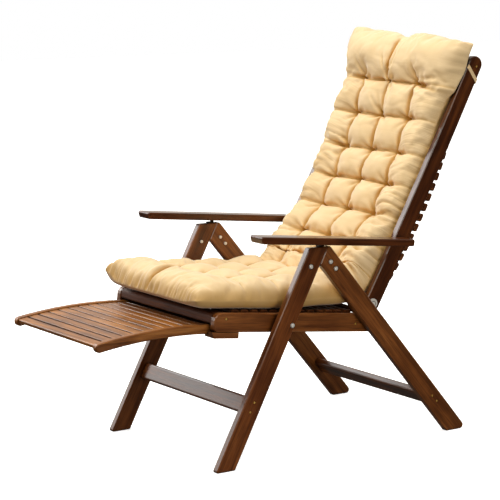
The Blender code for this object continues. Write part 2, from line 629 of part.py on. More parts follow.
def build_rear_legs():
    lower_edge = CROTCH
    upper_edge = CROTCH + REAR_ACROSS * REAR_LEG_WIDTH
    outline = rounded([(lower_edge, FOOT_RADIUS / 2),
                       (meet(lower_edge, REAR_WAY, FLOOR, LEVEL), FOOT_RADIUS),
                       (meet(upper_edge, REAR_WAY, FLOOR, LEVEL), 2 * FOOT_RADIUS),
                       (meet(upper_edge, REAR_WAY, APEX, LEVEL), 2 * FOOT_RADIUS),
                       (meet(BUTT_EDGE, FRONT_WAY, APEX, LEVEL), 0.0)])
    bolts = [on_rear_leg(STRAP_BOLT_FIRST), on_rear_leg(STRAP_BOLT_SECOND)]
    strap = strap_outline([LEG_HINGE] + bolts, STRAP_RADIUS)
    strap_room = strap_outline([LEG_HINGE] + bolts, STRAP_RADIUS + RUN_GAP)
    half_strap = STRAP_THICK / 2
    peg_level = on_seat(0.0, -RAIL_BELOW_PIVOT - PEG_RADIUS - SEAT_GAP)
    peg_place = meet(REAR_LINE, REAR_WAY, peg_level, SEAT_WAY)
    for name, side in SIDES:
        leg = side_board("rear_leg_" + name, side, outline, LEG_INNER, LEG_OUTER,
                         "walnut_stained_wood", rear_legs)
        bm = bmesh.new()
        sheet_between(bm, strap_room, side * (LEG_MIDDLE - half_strap - SEAT_GAP),
                      side * (LEG_MIDDLE + half_strap + SEAT_GAP))
        cut(leg, "strap_mortise_" + name, bm)
        plate = side_board("leg_hinge_strap_" + name, side, strap, LEG_MIDDLE - half_strap,
                           LEG_MIDDLE + half_strap, "zinc_plated_steel", rear_legs, 0.0)
        drill(plate, side, LEG_HINGE, BOLT_RADIUS + RUN_GAP, LEG_INNER, LEG_OUTER, "strap_pivot_hole_" + name)
        for centre, label in zip(bolts, ("upper", "lower")):
            through_bolt("strap_bolt_" + label + "_" + name, side, centre, rear_legs)
            for piece, kind in ((leg, "leg"), (plate, "strap")):
                drill(piece, side, centre, BOLT_RADIUS + SEAT_GAP, LEG_INNER - BOLT_RADIUS,
                      LEG_OUTER + BOLT_RADIUS, "_".join((kind, label, "hole", name)))
        peg_tip = LEG_INNER - PEG_REACH
        peg_root = LEG_INNER + PEG_DEPTH
        drill(leg, side, peg_place, PEG_RADIUS + SEAT_GAP, peg_tip, peg_root + SEAT_GAP, "peg_hole_" + name)
        bm = bmesh.new()
        turned(bm, peg_place, [(side * peg_tip, PEG_RADIUS), (side * peg_root, PEG_RADIUS)])
        keep("rail_peg_" + name, bm, "walnut_stained_wood", rear_legs)
    foot_along = (REAR_FOOT - REAR_LINE).dot(REAR_WAY)
    stretcher("rear_stretcher", on_rear_leg(foot_along - REAR_STRETCHER_UP), REAR_WAY, REAR_ACROSS, rear_legs)


def stile_outline(steps=8):
    """Bowed stile with a round foot about the back pivot and a rounded top."""
    half = STILE_WIDTH / 2
    foot = [on_back(-half * sin(pi * k / steps), -half * cos(pi * k / steps)) for k in range(1, steps)]
    rises = [STILE_LENGTH * k / steps for k in range(steps)]
    front = [on_back(up, stile_line(up) + half) for up in rises]
    rear = [on_back(up, stile_line(up) - half) for up in rises]
    crown = rounded([(front[-1], 0.0), (on_back(STILE_LENGTH, half), STILE_TOP_RADIUS),
                     (on_back(STILE_LENGTH, -half), STILE_TOP_RADIUS), (rear[-1], 0.0)], 6)
    return foot + front[:-1] + crown + rear[:-1][::-1]


def build_back():
    outline = stile_outline()
    half_bar = TOP_BAR_WIDTH / 2
    slant = SAG_TURN - SLING_SAG
    bar_way = BACK_WAY * cos(slant) + BACK_FORWARD * sin(slant)
    bar_through = BACK_FORWARD * cos(slant) - BACK_WAY * sin(slant)
    for name, side in SIDES:
        stile = side_board("back_stile_" + name, side, outline, STILE_INNER, STILE_OUTER, "walnut_stained_wood",
                           back_frame)
        for pivot, label in ((BACK_PIVOT, "back"), (ARM_PIVOT, "arm")):
            drill(stile, side, pivot, BOLT_RADIUS + RUN_GAP, STILE_INNER - BOLT_RADIUS,
                  STILE_OUTER + BOLT_RADIUS, label + "_pivot_hole_" + name)
        nut_face = EAR_INNER - SEAT_GAP
        washer_face = STILE_OUTER + SEAT_GAP
        cap_face = washer_face + WASHER_THICK
        bolt("back_pivot_bolt_" + name, side, BACK_PIVOT,
             [(nut_face - NUT_HEIGHT, NUT_RADIUS), (nut_face, NUT_RADIUS), (nut_face, BOLT_RADIUS),
              (washer_face, BOLT_RADIUS), (washer_face, WASHER_RADIUS), (cap_face, WASHER_RADIUS)]
             + dome(cap_face, 1, HEAD_RADIUS, HEAD_HEIGHT), back_frame)
        head_face = STILE_INNER - SEAT_GAP
        spacer_from = STILE_OUTER + SEAT_GAP
        spacer_to = ARM_INNER - SEAT_GAP
        bolt("arm_pivot_bolt_" + name, side, ARM_PIVOT,
             dome(head_face, -1, HEAD_RADIUS, HEAD_HEIGHT)[::-1]
             + [(head_face, BOLT_RADIUS), (spacer_from, BOLT_RADIUS), (spacer_from, SPACER_RADIUS),
                (spacer_to, SPACER_RADIUS), (spacer_to, BOLT_RADIUS),
                (ARM_INNER + ARM_BOLT_DEPTH, BOLT_RADIUS)], back_frame)
    bar_depth = SLAT_THICK + BEARER_DEPTH + SEAT_GAP + TOP_BAR_THICK / 2
    centre = back_sling(BACK_SLING_LENGTH - half_bar, -bar_depth)
    corners = [centre + bar_way * (half_bar * a) + bar_through * (TOP_BAR_THICK / 2 * b)
               for a, b in ((-1, -1), (1, -1), (1, 1), (-1, 1))]
    board("back_top_bar", rounded([(corner, FOOT_RADIUS) for corner in corners]), -INSIDE, INSIDE,
          "walnut_stained_wood", back_frame, 0.0)


def slat_panel(name, line, length_from, length_to, carrier):
    """Slats fused to two bearers that follow the sling's side line."""
    span = length_to - length_from
    steps = max(6, round(span / SLAT_PITCH))
    places = [length_from + span * k / steps for k in range(steps + 1)]
    upper = [line(p, -SLAT_THICK + SEAT_GAP) for p in places]
    lower = [line(p, -SLAT_THICK - BEARER_DEPTH) for p in places]
    bearer_outer = INSIDE - BEARER_INSET
    parts = []
    for label, side in SIDES:
        bm = bmesh.new()
        sheet_between(bm, lower + upper[::-1], side * (bearer_outer - BEARER_THICK), side * bearer_outer)
        parts.append(keep(name + "_bearer_" + label, bm, "walnut_stained_wood", carrier))
    count = int((span - SLAT_WIDTH) / SLAT_PITCH) + 1
    spare = span - SLAT_WIDTH - (count - 1) * SLAT_PITCH
    for k in range(count):
        start = length_from + spare / 2 + k * SLAT_PITCH
        stop = start + SLAT_WIDTH
        low = SLAT_ROUND - SLAT_THICK
        profile = [line(start + SLAT_ROUND, -SLAT_THICK), line(stop - SLAT_ROUND, -SLAT_THICK), line(stop, low),
                   line(stop, -SLAT_ROUND), line(stop - SLAT_ROUND, 0.0), line(start + SLAT_ROUND, 0.0),
                   line(start, -SLAT_ROUND), line(start, low)]
        bm = bmesh.new()
        sheet_between(bm, profile, -INSIDE, INSIDE)
        parts.append(keep(name + "_slat_%02d" % k, bm, "walnut_stained_wood", carrier))
    panel = parts[0]
    panel.name = name
    for other in parts[1:]:
        other.hide_render = True
        other.display_type = "WIRE"
        joining = panel.modifiers.new(other.name, "BOOLEAN")
        joining.operation = "UNION"
        joining.solver = "EXACT"
        joining.object = other
    return panel


def build_sling():
    bar_back = RAIL_FRONT - FRONT_BAR_SETBACK - FRONT_BAR_WIDTH
    seat_length = SEAT_BEND_LENGTH + SEAT_BEND_ALONG + bar_back - SEAT_GAP
    slat_panel("seat_slats", seat_sling, SEAT_SLING_STOP, seat_length, seat_frame)
    slat_panel("back_slats", back_sling, BACK_SLING_START, BACK_SLING_LENGTH, back_frame)


def build_armrests():
    under = -ARM_THICK / 2
    outline = rounded([(on_arm(-ARM_TAIL, under), FOOT_RADIUS), (on_arm(-ARM_TAIL, -under), FOOT_RADIUS),
                       (on_arm(ARM_LENGTH, -under), FOOT_RADIUS),
                       (on_arm(ARM_LENGTH - ARM_UNDERCUT, under), FOOT_RADIUS)])
    rack_from = (CATCH_TIP - ARM_PIVOT).dot(ARM_WAY) - RACK_LEAD
    rack_to = rack_from + RACK_LEAD + RACK_NOTCHES * RACK_PITCH
    roof = under + RACK_DEPTH
    groove = [on_arm(rack_from - SEAT_GAP, under - RACK_DEPTH), on_arm(rack_to + SEAT_GAP, under - RACK_DEPTH),
              on_arm(rack_to + SEAT_GAP, roof), on_arm(rack_from - SEAT_GAP, roof)]
    rack = [on_arm(rack_to, roof - SEAT_GAP), on_arm(rack_from, roof - SEAT_GAP), on_arm(rack_from, under)]
    for k in range(RACK_NOTCHES):
        tooth = rack_from + RACK_LEAD + k * RACK_PITCH
        rack += [on_arm(tooth - RACK_PITCH / 5, under), on_arm(tooth - RACK_PITCH / 5, under + NOTCH_DEPTH / 4),
                 on_arm(tooth + RACK_PITCH / 5, under + NOTCH_DEPTH), on_arm(tooth + RACK_PITCH / 5, under)]
    rack.append(on_arm(rack_to, under))
    for (name, side), carrier in zip(SIDES, (arm_left, arm_right)):
        arm = side_board("armrest_" + name, side, outline, ARM_INNER, ARM_OUTER, "walnut_stained_wood", carrier)
        bm = bmesh.new()
        sheet_between(bm, groove, side * (LEG_MIDDLE - RACK_WIDTH / 2 - SEAT_GAP),
                      side * (LEG_MIDDLE + RACK_WIDTH / 2 + SEAT_GAP))
        cut(arm, "rack_groove_" + name, bm)
        drill(arm, side, ARM_PIVOT, BOLT_RADIUS + RUN_GAP, ARM_INNER - BOLT_RADIUS,
              ARM_INNER + ARM_BOLT_DEPTH + RUN_GAP, "arm_bolt_hole_" + name)
        side_board("armrest_rack_" + name, side, rack, LEG_MIDDLE - RACK_WIDTH / 2, LEG_MIDDLE + RACK_WIDTH / 2,
                   "zinc_plated_steel", carrier, 0.0)


def build_footrest():
    tip = -FOOT_REACH
    steps = 10
    rail = [(point, 0.0) for point in arc_sector(tip, FOOT_TAIL, FOOT_UNDER, FOOT_TOP, steps)]
    for corner in (steps, steps + 1):
        rail[corner] = (rail[corner][0], FOOT_TIP_RADIUS)
    for name, side in SIDES:
        side_board("footrest_rail_" + name, side, rounded(rail, 5), FOOT_INNER, FOOT_OUTER, "honey_stained_wood",
                   footrest)
    between = FOOT_INNER - SEAT_GAP
    slat_top = FOOT_TOP - FOOT_SLAT_DROP

    def slat(name, along_from, along_to, bevel):
        board(name, arc_sector(along_from, along_to, slat_top - FOOT_SLAT_THICK, slat_top, 1), -between, between,
              "honey_stained_wood", footrest, bevel)

    nose_from = tip + NOSE_SETBACK
    slat("footrest_nose", nose_from, nose_from + NOSE_WIDTH, BOARD_BEVEL)
    end_from = FOOT_TAIL - FOOT_END_WIDTH
    board("footrest_end_bar", arc_sector(end_from, FOOT_TAIL, FOOT_UNDER, FOOT_TOP, 1), -between, between,
          "honey_stained_wood", footrest)
    slats_from = nose_from + NOSE_WIDTH + FOOT_SLAT_GAP
    pitch = (end_from - slats_from) / FOOT_SLATS
    for k in range(FOOT_SLATS):
        start = slats_from + k * pitch
        slat("footrest_slat_%02d" % (k + 1), start, start + pitch - FOOT_SLAT_GAP, BOARD_BEVEL / 2)


def cell_height(across, along):
    """Share of crown at a place counted in cells: 1 on a cell's middle, 0 at a sewn tuft."""
    to_tuft = hypot(across - round(across), along - round(along))
    seam = min(abs(across - round(across)), abs(along - round(along)))
    dimple = exp(-(to_tuft / TUFT_REACH) ** 2)
    groove = SEAM_DEPTH * exp(-(seam / SEAM_REACH) ** 2)
    return max(0.0, 1.0 - dimple - groove * (1.0 - dimple))


def cushion(name, line, length_to, cells, half_width, carrier):
    """Tufted pad on the sling line: crowned cells, sewn tufts, drawn-in sides and rounded ends."""
    bm = bmesh.new()
    rows = cells * CELL_STEPS
    columns = CELLS_ACROSS * CELL_STEPS
    loops = []
    for i in range(rows + 1):
        along = cells * i / rows
        place = CUSHION_MITRE + (length_to - CUSHION_MITRE) * i / rows
        crown = CUSHION_CROWN + CORNER_FILL * exp(-(place / CORNER_FILL_REACH) ** 2)
        to_end = min(1.0, (cells - along) / END_ROUND_CELLS)
        end_round = max(0.0, 1.0 - (1.0 - to_end) ** 2) ** 0.5
        wide = half_width(place) - DRAWN_IN * (0.5 - 0.5 * cos(2 * pi * along))
        wide -= CUSHION_CORNER * (1.0 - end_round)
        loop = []
        for j in range(columns + 1):
            across = CELLS_ACROSS * j / columns
            to_side = min(1.0, min(across, CELLS_ACROSS - across) / SIDE_ROUND_CELLS)
            side_round = max(0.0, 1.0 - (1.0 - to_side) ** 2) ** 0.5
            high = CUSHION_TUFT + (crown - CUSHION_TUFT) * cell_height(across, along)
            high = CUSHION_EDGE + (high - CUSHION_EDGE) * side_round * end_round
            x = wide * (2.0 * j / columns - 1.0)
            spot = line(place, high)
            loop.append(bm.verts.new((x, spot.x, spot.y)))
        spot = line(place, CUSHION_GAP)
        tucked = min(wide - TUCK_IN, SEAT_INNER - TUCK_IN)
        for x in (tucked, -tucked):
            loop.append(bm.verts.new((x, spot.x, spot.y)))
        loops.append(loop)
    width = len(loops[0])
    for loop, following in zip(loops, loops[1:]):
        for k in range(width):
            bm.faces.new((loop[k], loop[(k + 1) % width], following[(k + 1) % width], following[k]))
    bm.faces.new(loops[0][::-1])
    bm.faces.new(loops[-1])
    return keep(name, bm, "cream_cotton", carrier, radians(60))


def build_cushion():
    between_stiles = SEAT_INNER - RUN_GAP

    def widening(place, start):
        share = min(1.0, max(0.0, (place - start) / CUSHION_WIDENING))
        return between_stiles + (CUSHION_WIDE - between_stiles) * share * share * (3.0 - 2.0 * share)

    def seat_wide(place):
        """Between the stiles' feet at the rear, full width over the rails."""
        return widening(place, STILE_WIDTH)

    def back_wide(place):
        """Between the stiles while the sling sags behind their front edges, full width at the head."""
        return widening(place, BACK_SLING_LENGTH - HEAD_LEAD)

    seat_length = SEAT_BEND_LENGTH + SEAT_BEND_ALONG + RAIL_FRONT + CUSHION_FRONT
    cushion("seat_cushion", seat_sling, seat_length, CELLS_SEAT, seat_wide, seat_frame)
    cushion("back_cushion", back_sling, BACK_SLING_LENGTH + CUSHION_HEAD, CELLS_BACK, back_wide, back_frame)


build_seat()
build_front_legs()
build_rear_legs()
build_back()
build_sling()
build_armrests()
build_footrest()
build_cushion()
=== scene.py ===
"""Looks of the folding chaise longue: stained boards, plated steel and a tufted cotton cushion.

Everything is in metres, in the frame of the solids: the sitter faces -Y, +Z is up, "left" is +X.
"""

import math

import bpy
import numpy as np
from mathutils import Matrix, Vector, noise


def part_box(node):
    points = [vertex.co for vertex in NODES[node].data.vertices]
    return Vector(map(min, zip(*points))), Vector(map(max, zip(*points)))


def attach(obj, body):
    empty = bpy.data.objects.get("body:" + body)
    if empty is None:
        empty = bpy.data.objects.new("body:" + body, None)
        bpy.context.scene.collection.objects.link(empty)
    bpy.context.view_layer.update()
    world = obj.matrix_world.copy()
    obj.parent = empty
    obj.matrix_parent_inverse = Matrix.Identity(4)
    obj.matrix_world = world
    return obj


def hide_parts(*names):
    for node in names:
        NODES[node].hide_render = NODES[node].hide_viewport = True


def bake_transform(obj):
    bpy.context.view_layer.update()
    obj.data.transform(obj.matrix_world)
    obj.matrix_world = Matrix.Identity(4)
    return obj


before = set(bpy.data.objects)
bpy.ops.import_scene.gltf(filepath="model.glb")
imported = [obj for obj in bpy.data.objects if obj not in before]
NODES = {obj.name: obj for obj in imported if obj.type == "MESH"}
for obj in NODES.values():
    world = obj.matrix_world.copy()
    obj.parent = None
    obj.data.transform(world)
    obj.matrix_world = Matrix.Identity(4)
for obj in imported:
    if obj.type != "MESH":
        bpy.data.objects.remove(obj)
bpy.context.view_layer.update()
SIDES = (("left", 1), ("right", -1))
SMOOTH_ANGLE = math.radians(40)

# -------------------- materials

COLOUR_A, COLOUR_B, MIXED = 6, 7, 2      # a Mix node's colour inputs and its colour output
BLEND = {"data_type": "RGBA"}
TINT = {"data_type": "RGBA", "blend_type": "MULTIPLY"}


def linear(code):
    """A linear RGBA colour from an sRGB hex value such as 5a3118."""
    parts = [int(code[i:i + 2], 16) / 255 for i in (0, 2, 4)]
    return (*[c / 12.92 if c <= 0.04045 else ((c + 0.055) / 1.055) ** 2.4 for c in parts], 1.0)


def wire(tree, node, links):
    """Sets a node's inputs; links maps each to a value or to another node's output."""
    for name, value in links.items():
        if isinstance(value, bpy.types.NodeSocket):
            tree.links.new(value, node.inputs[name])
        else:
            node.inputs[name].default_value = value


def add(tree, kind, links=None, stops=(), **settings):
    """A node with its settings and links; stops are a colour ramp's (position, hex colour) pairs."""
    node = tree.nodes.new(kind)
    for name, value in settings.items():
        setattr(node, name, value)
    wire(tree, node, links or {})
    if stops:
        elements = node.color_ramp.elements
        while len(elements) < len(stops):
            elements.new(0.5)
        for element, (position, code) in zip(elements, stops):
            element.position = position
            element.color = linear(code)
    return node


def new_material(name):
    material = bpy.data.materials.new(name)
    material.use_nodes = True
    tree = material.node_tree
    return material, tree, tree.nodes["Principled BSDF"]


def paint_corner_shade(tree, colour, reach, stops):
    """Painted corner shade: the colour, multiplied by stops from the deepest corners to the open, for corners within
    reach.
    """
    corner = add(tree, "ShaderNodeAmbientOcclusion", {"Color": colour, "Distance": reach}, samples=6)
    tint = add(tree, "ShaderNodeValToRGB", {"Fac": corner.outputs["AO"]}, stops=stops)
    return add(tree, "ShaderNodeMix", {"Factor": 1.0, COLOUR_A: colour, COLOUR_B: tint.outputs["Color"]},
               **TINT).outputs[MIXED]


# Figures of the wood: marks per metre along, across and through the board, then detail, roughness, distortion.
GROWTH_BANDS = ((3.0, 70.0, 70.0), 4.0, 0.6, 0.5)        # 14 mm wide, wandering along the board
STAIN_PATCHES = ((8.0, 24.0, 24.0), 2.0, 0.5, 0.0)       # 120 mm long, where the stain took more or less
PORES = ((16.0, 520.0, 520.0), 2.0, 0.5, 0.0)            # 60 mm long; real ones are 0.3 mm wide, drawn 2 mm to show
PORE_TONES = ((0.34, "8a7a70"), (0.48, "ffffff"))
PATCH_TONES = ((0.35, "c9bfb8"), (0.65, "ffffff"))
PORE_STRENGTH, PATCH_STRENGTH = 0.6, 0.9
PORE_BUMP, PORE_DEEP = 0.08, 0.0006
BAND_STOPS = (0.30, 0.52, 0.72)
EDGE_ROUND = 0.0025              # an edge is where the normal rounded over this leaves the true one
ON_FACE, ON_EDGE = 0.98, 0.80    # cosine between the two
EDGE_RUB = 0.30                  # how far the stain is rubbed off there
CORNER_SHADE_REACH = 0.014             # painted shade in corners and gaps of this size
CORNER_SHADE_TONES = ((0.20, "120a08"), (0.80, "ffffff"))
SATIN_SPREAD = 0.14              # how much duller the light grain is
LACQUER_IOR, LACQUER_ROUGH = 1.40, 0.10


def stained_beech(name, turn, tones, coat, edge_rough, face_rough):
    """Beech stained walnut under satin lacquer: straight grain, short dark pores, painted shade in corners and gaps,
    stain rubbed thin on the edges, and a clear coat that turns pale where light grazes it. turn brings the board's
    length onto X; edge_rough and face_rough say how dull edges and faces are."""
    material, tree, shader = new_material(name)
    place = add(tree, "ShaderNodeTexCoord").outputs["Object"]
    board = add(tree, "ShaderNodeMapping", {"Vector": place, "Rotation": turn}).outputs["Vector"]
    figures = []
    for scale, detail, roughness, distortion in (GROWTH_BANDS, STAIN_PATCHES, PORES):
        marks_at = add(tree, "ShaderNodeMapping", {"Vector": board, "Scale": scale}).outputs["Vector"]
        figures.append(add(tree, "ShaderNodeTexNoise", {
            "Vector": marks_at, "Scale": 1.0, "Detail": detail, "Roughness": roughness,
            "Distortion": distortion}).outputs["Fac"])
    bands, patches, pores = figures
    stain = add(tree, "ShaderNodeValToRGB", {"Fac": bands}, stops=tuple(zip(BAND_STOPS, tones))).outputs["Color"]
    for marks, marks_tones, strength in ((pores, PORE_TONES, PORE_STRENGTH), (patches, PATCH_TONES, PATCH_STRENGTH)):
        tint = add(tree, "ShaderNodeValToRGB", {"Fac": marks}, stops=marks_tones).outputs["Color"]
        stain = add(tree, "ShaderNodeMix", {"Factor": strength, COLOUR_A: stain, COLOUR_B: tint},
                    **TINT).outputs[MIXED]
    rounded = add(tree, "ShaderNodeBevel", {"Radius": EDGE_ROUND}, samples=4).outputs["Normal"]
    true = add(tree, "ShaderNodeNewGeometry").outputs["Normal"]
    facing = add(tree, "ShaderNodeVectorMath", {0: rounded, 1: true}, operation="DOT_PRODUCT").outputs["Value"]
    edge = add(tree, "ShaderNodeMapRange", {"Value": facing, "From Min": ON_FACE, "From Max": ON_EDGE,
                                            "To Min": 0.0, "To Max": EDGE_RUB}).outputs["Result"]
    rubbed = add(tree, "ShaderNodeMix", {"Factor": edge, COLOUR_A: stain, COLOUR_B: linear(tones[-1])},
                 **BLEND).outputs[MIXED]
    satin = add(tree, "ShaderNodeMapRange", {"Value": bands, "To Min": face_rough,
                                             "To Max": face_rough + SATIN_SPREAD}).outputs["Result"]
    rough = add(tree, "ShaderNodeMapRange", {"Value": facing, "From Min": ON_EDGE, "From Max": ON_FACE,
                                             "To Min": edge_rough, "To Max": satin}).outputs["Result"]
    bump = add(tree, "ShaderNodeBump", {"Height": pores, "Strength": PORE_BUMP, "Distance": PORE_DEEP})
    # The base colour is darkened in corners and gaps: painted shade.
    wire(tree, shader, {"Base Color": paint_corner_shade(tree, rubbed, CORNER_SHADE_REACH, CORNER_SHADE_TONES),
                        "Roughness": rough, "Normal": bump.outputs["Normal"], "IOR": LACQUER_IOR,
                        "Coat Weight": coat, "Coat Roughness": LACQUER_ROUGH, "Coat IOR": LACQUER_IOR})
    return material


METAL_CLOUDS = 330.0             # per metre: clouds 3 mm across
CLOUD_STOPS = (0.3, 0.7)         # where clouds are darkest and lightest
SOCKET_SHADE_REACH = 0.004            # painted shade in sockets and corners of this size
SOCKET_SHADE_TONES = ((0.45, "2a211b"), (0.90, "ffffff"))


def clouded_metal(name, dark, light, rough_from, rough_to, metallic):
    """A metal surface with fine clouds where its finish is thicker, and painted shade in its sockets and corners."""
    material, tree, shader = new_material(name)
    place = add(tree, "ShaderNodeTexCoord").outputs["Object"]
    clouds = add(tree, "ShaderNodeTexNoise", {"Vector": place, "Scale": METAL_CLOUDS, "Detail": 4.0}).outputs["Fac"]
    colour = add(tree, "ShaderNodeValToRGB", {"Fac": clouds}, stops=tuple(zip(CLOUD_STOPS, (dark, light))))
    rough = add(tree, "ShaderNodeMapRange", {"Value": clouds, "To Min": rough_from, "To Max": rough_to})
    # The base colour is darkened in sockets and corners: painted shade.
    wire(tree, shader, {"Base Color": paint_corner_shade(tree, colour.outputs["Color"], SOCKET_SHADE_REACH, SOCKET_SHADE_TONES),
                        "Roughness": rough.outputs["Result"], "Metallic": metallic})
    return material


THREADS = {"Scale": 130.0, "Distortion": 1.2, "Detail": 1.0}     # 0.5 mm apart; drawn 2.4 mm apart to show
WEAVE_BUMP, WEAVE_DEEP = 0.12, 0.0005
WASH_CLOUDS = 16.0               # per metre: washing leaves clouds 60 mm across
CLOTH_TONES = ((0.3, "e1c494"), (0.7, "e8cda1"))
VALLEY_SHADE_REACH = 0.05                    # valleys of this size get painted shade, warm like light that goes from cloth to cloth there
VALLEY_SHADE_TONES = ((0.30, "f4d898"), (0.80, "ffffff"))
# Colour of the painted shade in folds, creases and sewn lines.
FOLD_SHADE_TONE = "ac7f30"
FINE_DRAG = (10.0, 72.0, 1.0)    # fine drag lines 14 mm apart and 100 mm long
FINE_DRAG_DEEP = 0.006


def cotton_cloth():
    """Washed cotton canvas: matt, a soft bloom at grazing light, a plain weave, painted shade in its valleys, and
    painted shade of a warmer, darker tone in the folds. The attribute of painted fold shade, and drag and pull, say
    where the fold shade and drag lines are, and which way the lines run."""
    material, tree, shader = new_material("cotton_cloth")
    place = add(tree, "ShaderNodeTexCoord").outputs["UV"]
    warp, weft = (add(tree, "ShaderNodeTexWave", {"Vector": place, **THREADS}, bands_direction=way).outputs["Fac"]
                  for way in ("X", "Y"))
    weave = add(tree, "ShaderNodeMath", {0: warp, 1: weft}, operation="MULTIPLY").outputs["Value"]
    clouds = add(tree, "ShaderNodeTexNoise", {"Vector": place, "Scale": WASH_CLOUDS, "Detail": 3.0}).outputs["Fac"]
    washed = add(tree, "ShaderNodeValToRGB", {"Fac": clouds}, stops=CLOTH_TONES).outputs["Color"]
    fold_shade, drag, pull = (add(tree, "ShaderNodeAttribute", attribute_name=name) for name in ("fold_shade", "drag", "pull"))
    # Painted shade: the valleys darkened, and the folds' darker, warmer colour laid over them.
    colour = add(tree, "ShaderNodeMix", {"Factor": fold_shade.outputs["Fac"],
                                         COLOUR_A: paint_corner_shade(tree, washed, VALLEY_SHADE_REACH, VALLEY_SHADE_TONES),
                                         COLOUR_B: linear(FOLD_SHADE_TONE)}, **BLEND).outputs[MIXED]
    lines_at = add(tree, "ShaderNodeMapping", {"Vector": pull.outputs["Vector"], "Scale": FINE_DRAG})
    lines = add(tree, "ShaderNodeTexNoise", {"Vector": lines_at.outputs["Vector"], "Scale": 1.0, "Detail": 2.0,
                                             "Distortion": 0.6}).outputs["Fac"]
    pulled = add(tree, "ShaderNodeBump", {"Height": lines, "Strength": drag.outputs["Fac"],
                                          "Distance": FINE_DRAG_DEEP}).outputs["Normal"]
    bump = add(tree, "ShaderNodeBump", {"Height": weave, "Strength": WEAVE_BUMP, "Distance": WEAVE_DEEP,
                                        "Normal": pulled})
    wire(tree, shader, {"Base Color": colour, "Normal": bump.outputs["Normal"], "Roughness": 0.9,
                        "Sheen Weight": 0.50, "Sheen Roughness": 0.4, "Specular IOR Level": 0.2})
    return material


# -------------------- camera, floor and light

PHOTO_AZIMUTH = math.radians(55.16)      # from the front (-Y) towards the sitter's left (+X)
PHOTO_ELEVATION = math.radians(9.17)
PHOTO_DISTANCE = 5.245
PHOTO_TARGET = Vector((0.0, 0.0, 0.520))
PHOTO_LENS = 138.8                       # mm, on a 36 mm wide sensor
WHITE = (1.0, 1.0, 1.0, 1.0)
WARM = (1.0, 0.94, 0.84, 1.0)            # light that came off the studio's walls and floor
FLOOR_SIZE = 30.0
FLOOR_LIT_FROM = 0.9                     # the floor glows from here outwards, so that it ends in white
FLOOR_LIT_TO = 2.6
FLOOR_GLOW = 0.70                        # right under the chair, so that only a faint shadow shows
PAPER_SPECKS = 40.0                      # per metre
PAPER_TONES = ((0.3, "f9f9f8"), (0.7, "fdfdfc"))
# Brightness of the studio on the chair's far side, on its near side and from below.
ROOM_LIGHT = (0.55, 0.19, 0.12)
ROOM_SHEEN = (0.85, 0.06, 0.06)          # the same, as polished wood mirrors it
FAR_TO_NEAR = (-0.35, 0.55)              # X of the directions between which the far side turns into the near one
BELOW_TO_LEVEL = (-0.25, 0.05)           # Z of the directions between which the light from below ends
# Name, place, size, watts, whether it lights, whether polish mirrors it, colour. All face the chair.
SOFTBOXES = (
    ("side_softbox", (-3.4, -1.1, 3.0), 2.2, 68.0, True, True, WHITE),
    ("top_softbox", (0.1, -0.6, 4.0), 2.4, 110.0, True, True, WHITE),
    ("fill_softbox", (2.6, -2.4, 2.8), 1.6, 38.0, True, True, WARM),
    ("back_softbox", (0.8, 3.6, 2.4), 2.2, 45.0, True, False, WARM),
    ("sheen_card", (-3.6, -2.0, 2.0), 2.2, 46.0, False, True, WHITE),
    ("floor_bounce", (1.9, 0.0, 0.10), 1.0, 14.0, True, False, WARM),
)


def deselect_all():
    bpy.ops.object.select_all(action="DESELECT")


def aim(obj, target):
    obj.rotation_euler = (target - obj.location).to_track_quat("-Z", "Y").to_euler()


def place_camera():
    sight = Vector((math.sin(PHOTO_AZIMUTH) * math.cos(PHOTO_ELEVATION),
                    -math.cos(PHOTO_AZIMUTH) * math.cos(PHOTO_ELEVATION),
                    math.sin(PHOTO_ELEVATION)))
    bpy.ops.object.camera_add(location=PHOTO_TARGET + PHOTO_DISTANCE * sight)
    camera = bpy.context.object
    camera.data.lens = PHOTO_LENS
    aim(camera, PHOTO_TARGET)
    bpy.context.scene.camera = camera


def make_floor():
    """White paper that glows away from the chair and is left out of reflections."""
    deselect_all()
    bpy.ops.mesh.primitive_plane_add(size=FLOOR_SIZE)
    floor = bpy.context.object
    floor.name = "studio_floor"
    floor.visible_glossy = floor.visible_diffuse = False
    material, tree, shader = new_material("white_paper")
    place = add(tree, "ShaderNodeTexCoord").outputs["Object"]
    specks = add(tree, "ShaderNodeTexNoise", {"Vector": place, "Scale": PAPER_SPECKS}).outputs["Fac"]
    paper = add(tree, "ShaderNodeValToRGB", {"Fac": specks}, stops=PAPER_TONES)
    away = add(tree, "ShaderNodeVectorMath", {0: place}, operation="LENGTH").outputs["Value"]
    glow = add(tree, "ShaderNodeMapRange", {"Value": away, "From Min": FLOOR_LIT_FROM, "From Max": FLOOR_LIT_TO,
                                            "To Min": FLOOR_GLOW, "To Max": 1.0})
    wire(tree, shader, {"Base Color": paper.outputs["Color"], "Emission Strength": glow.outputs["Result"],
                        "Emission Color": WHITE, "Roughness": 0.95})
    floor.data.materials.append(material)


def room_brightness(tree, way, far, near, below):
    """Brightness of the studio by direction."""
    sides = add(tree, "ShaderNodeMapRange", {"Value": way.outputs["X"], "From Min": FAR_TO_NEAR[0],
                                             "From Max": FAR_TO_NEAR[1], "To Min": far, "To Max": near})
    return add(tree, "ShaderNodeMapRange", {"Value": way.outputs["Z"], "From Min": BELOW_TO_LEVEL[0],
                                            "From Max": BELOW_TO_LEVEL[1], "To Min": below,
                                            "To Max": sides.outputs["Result"]}).outputs["Result"]


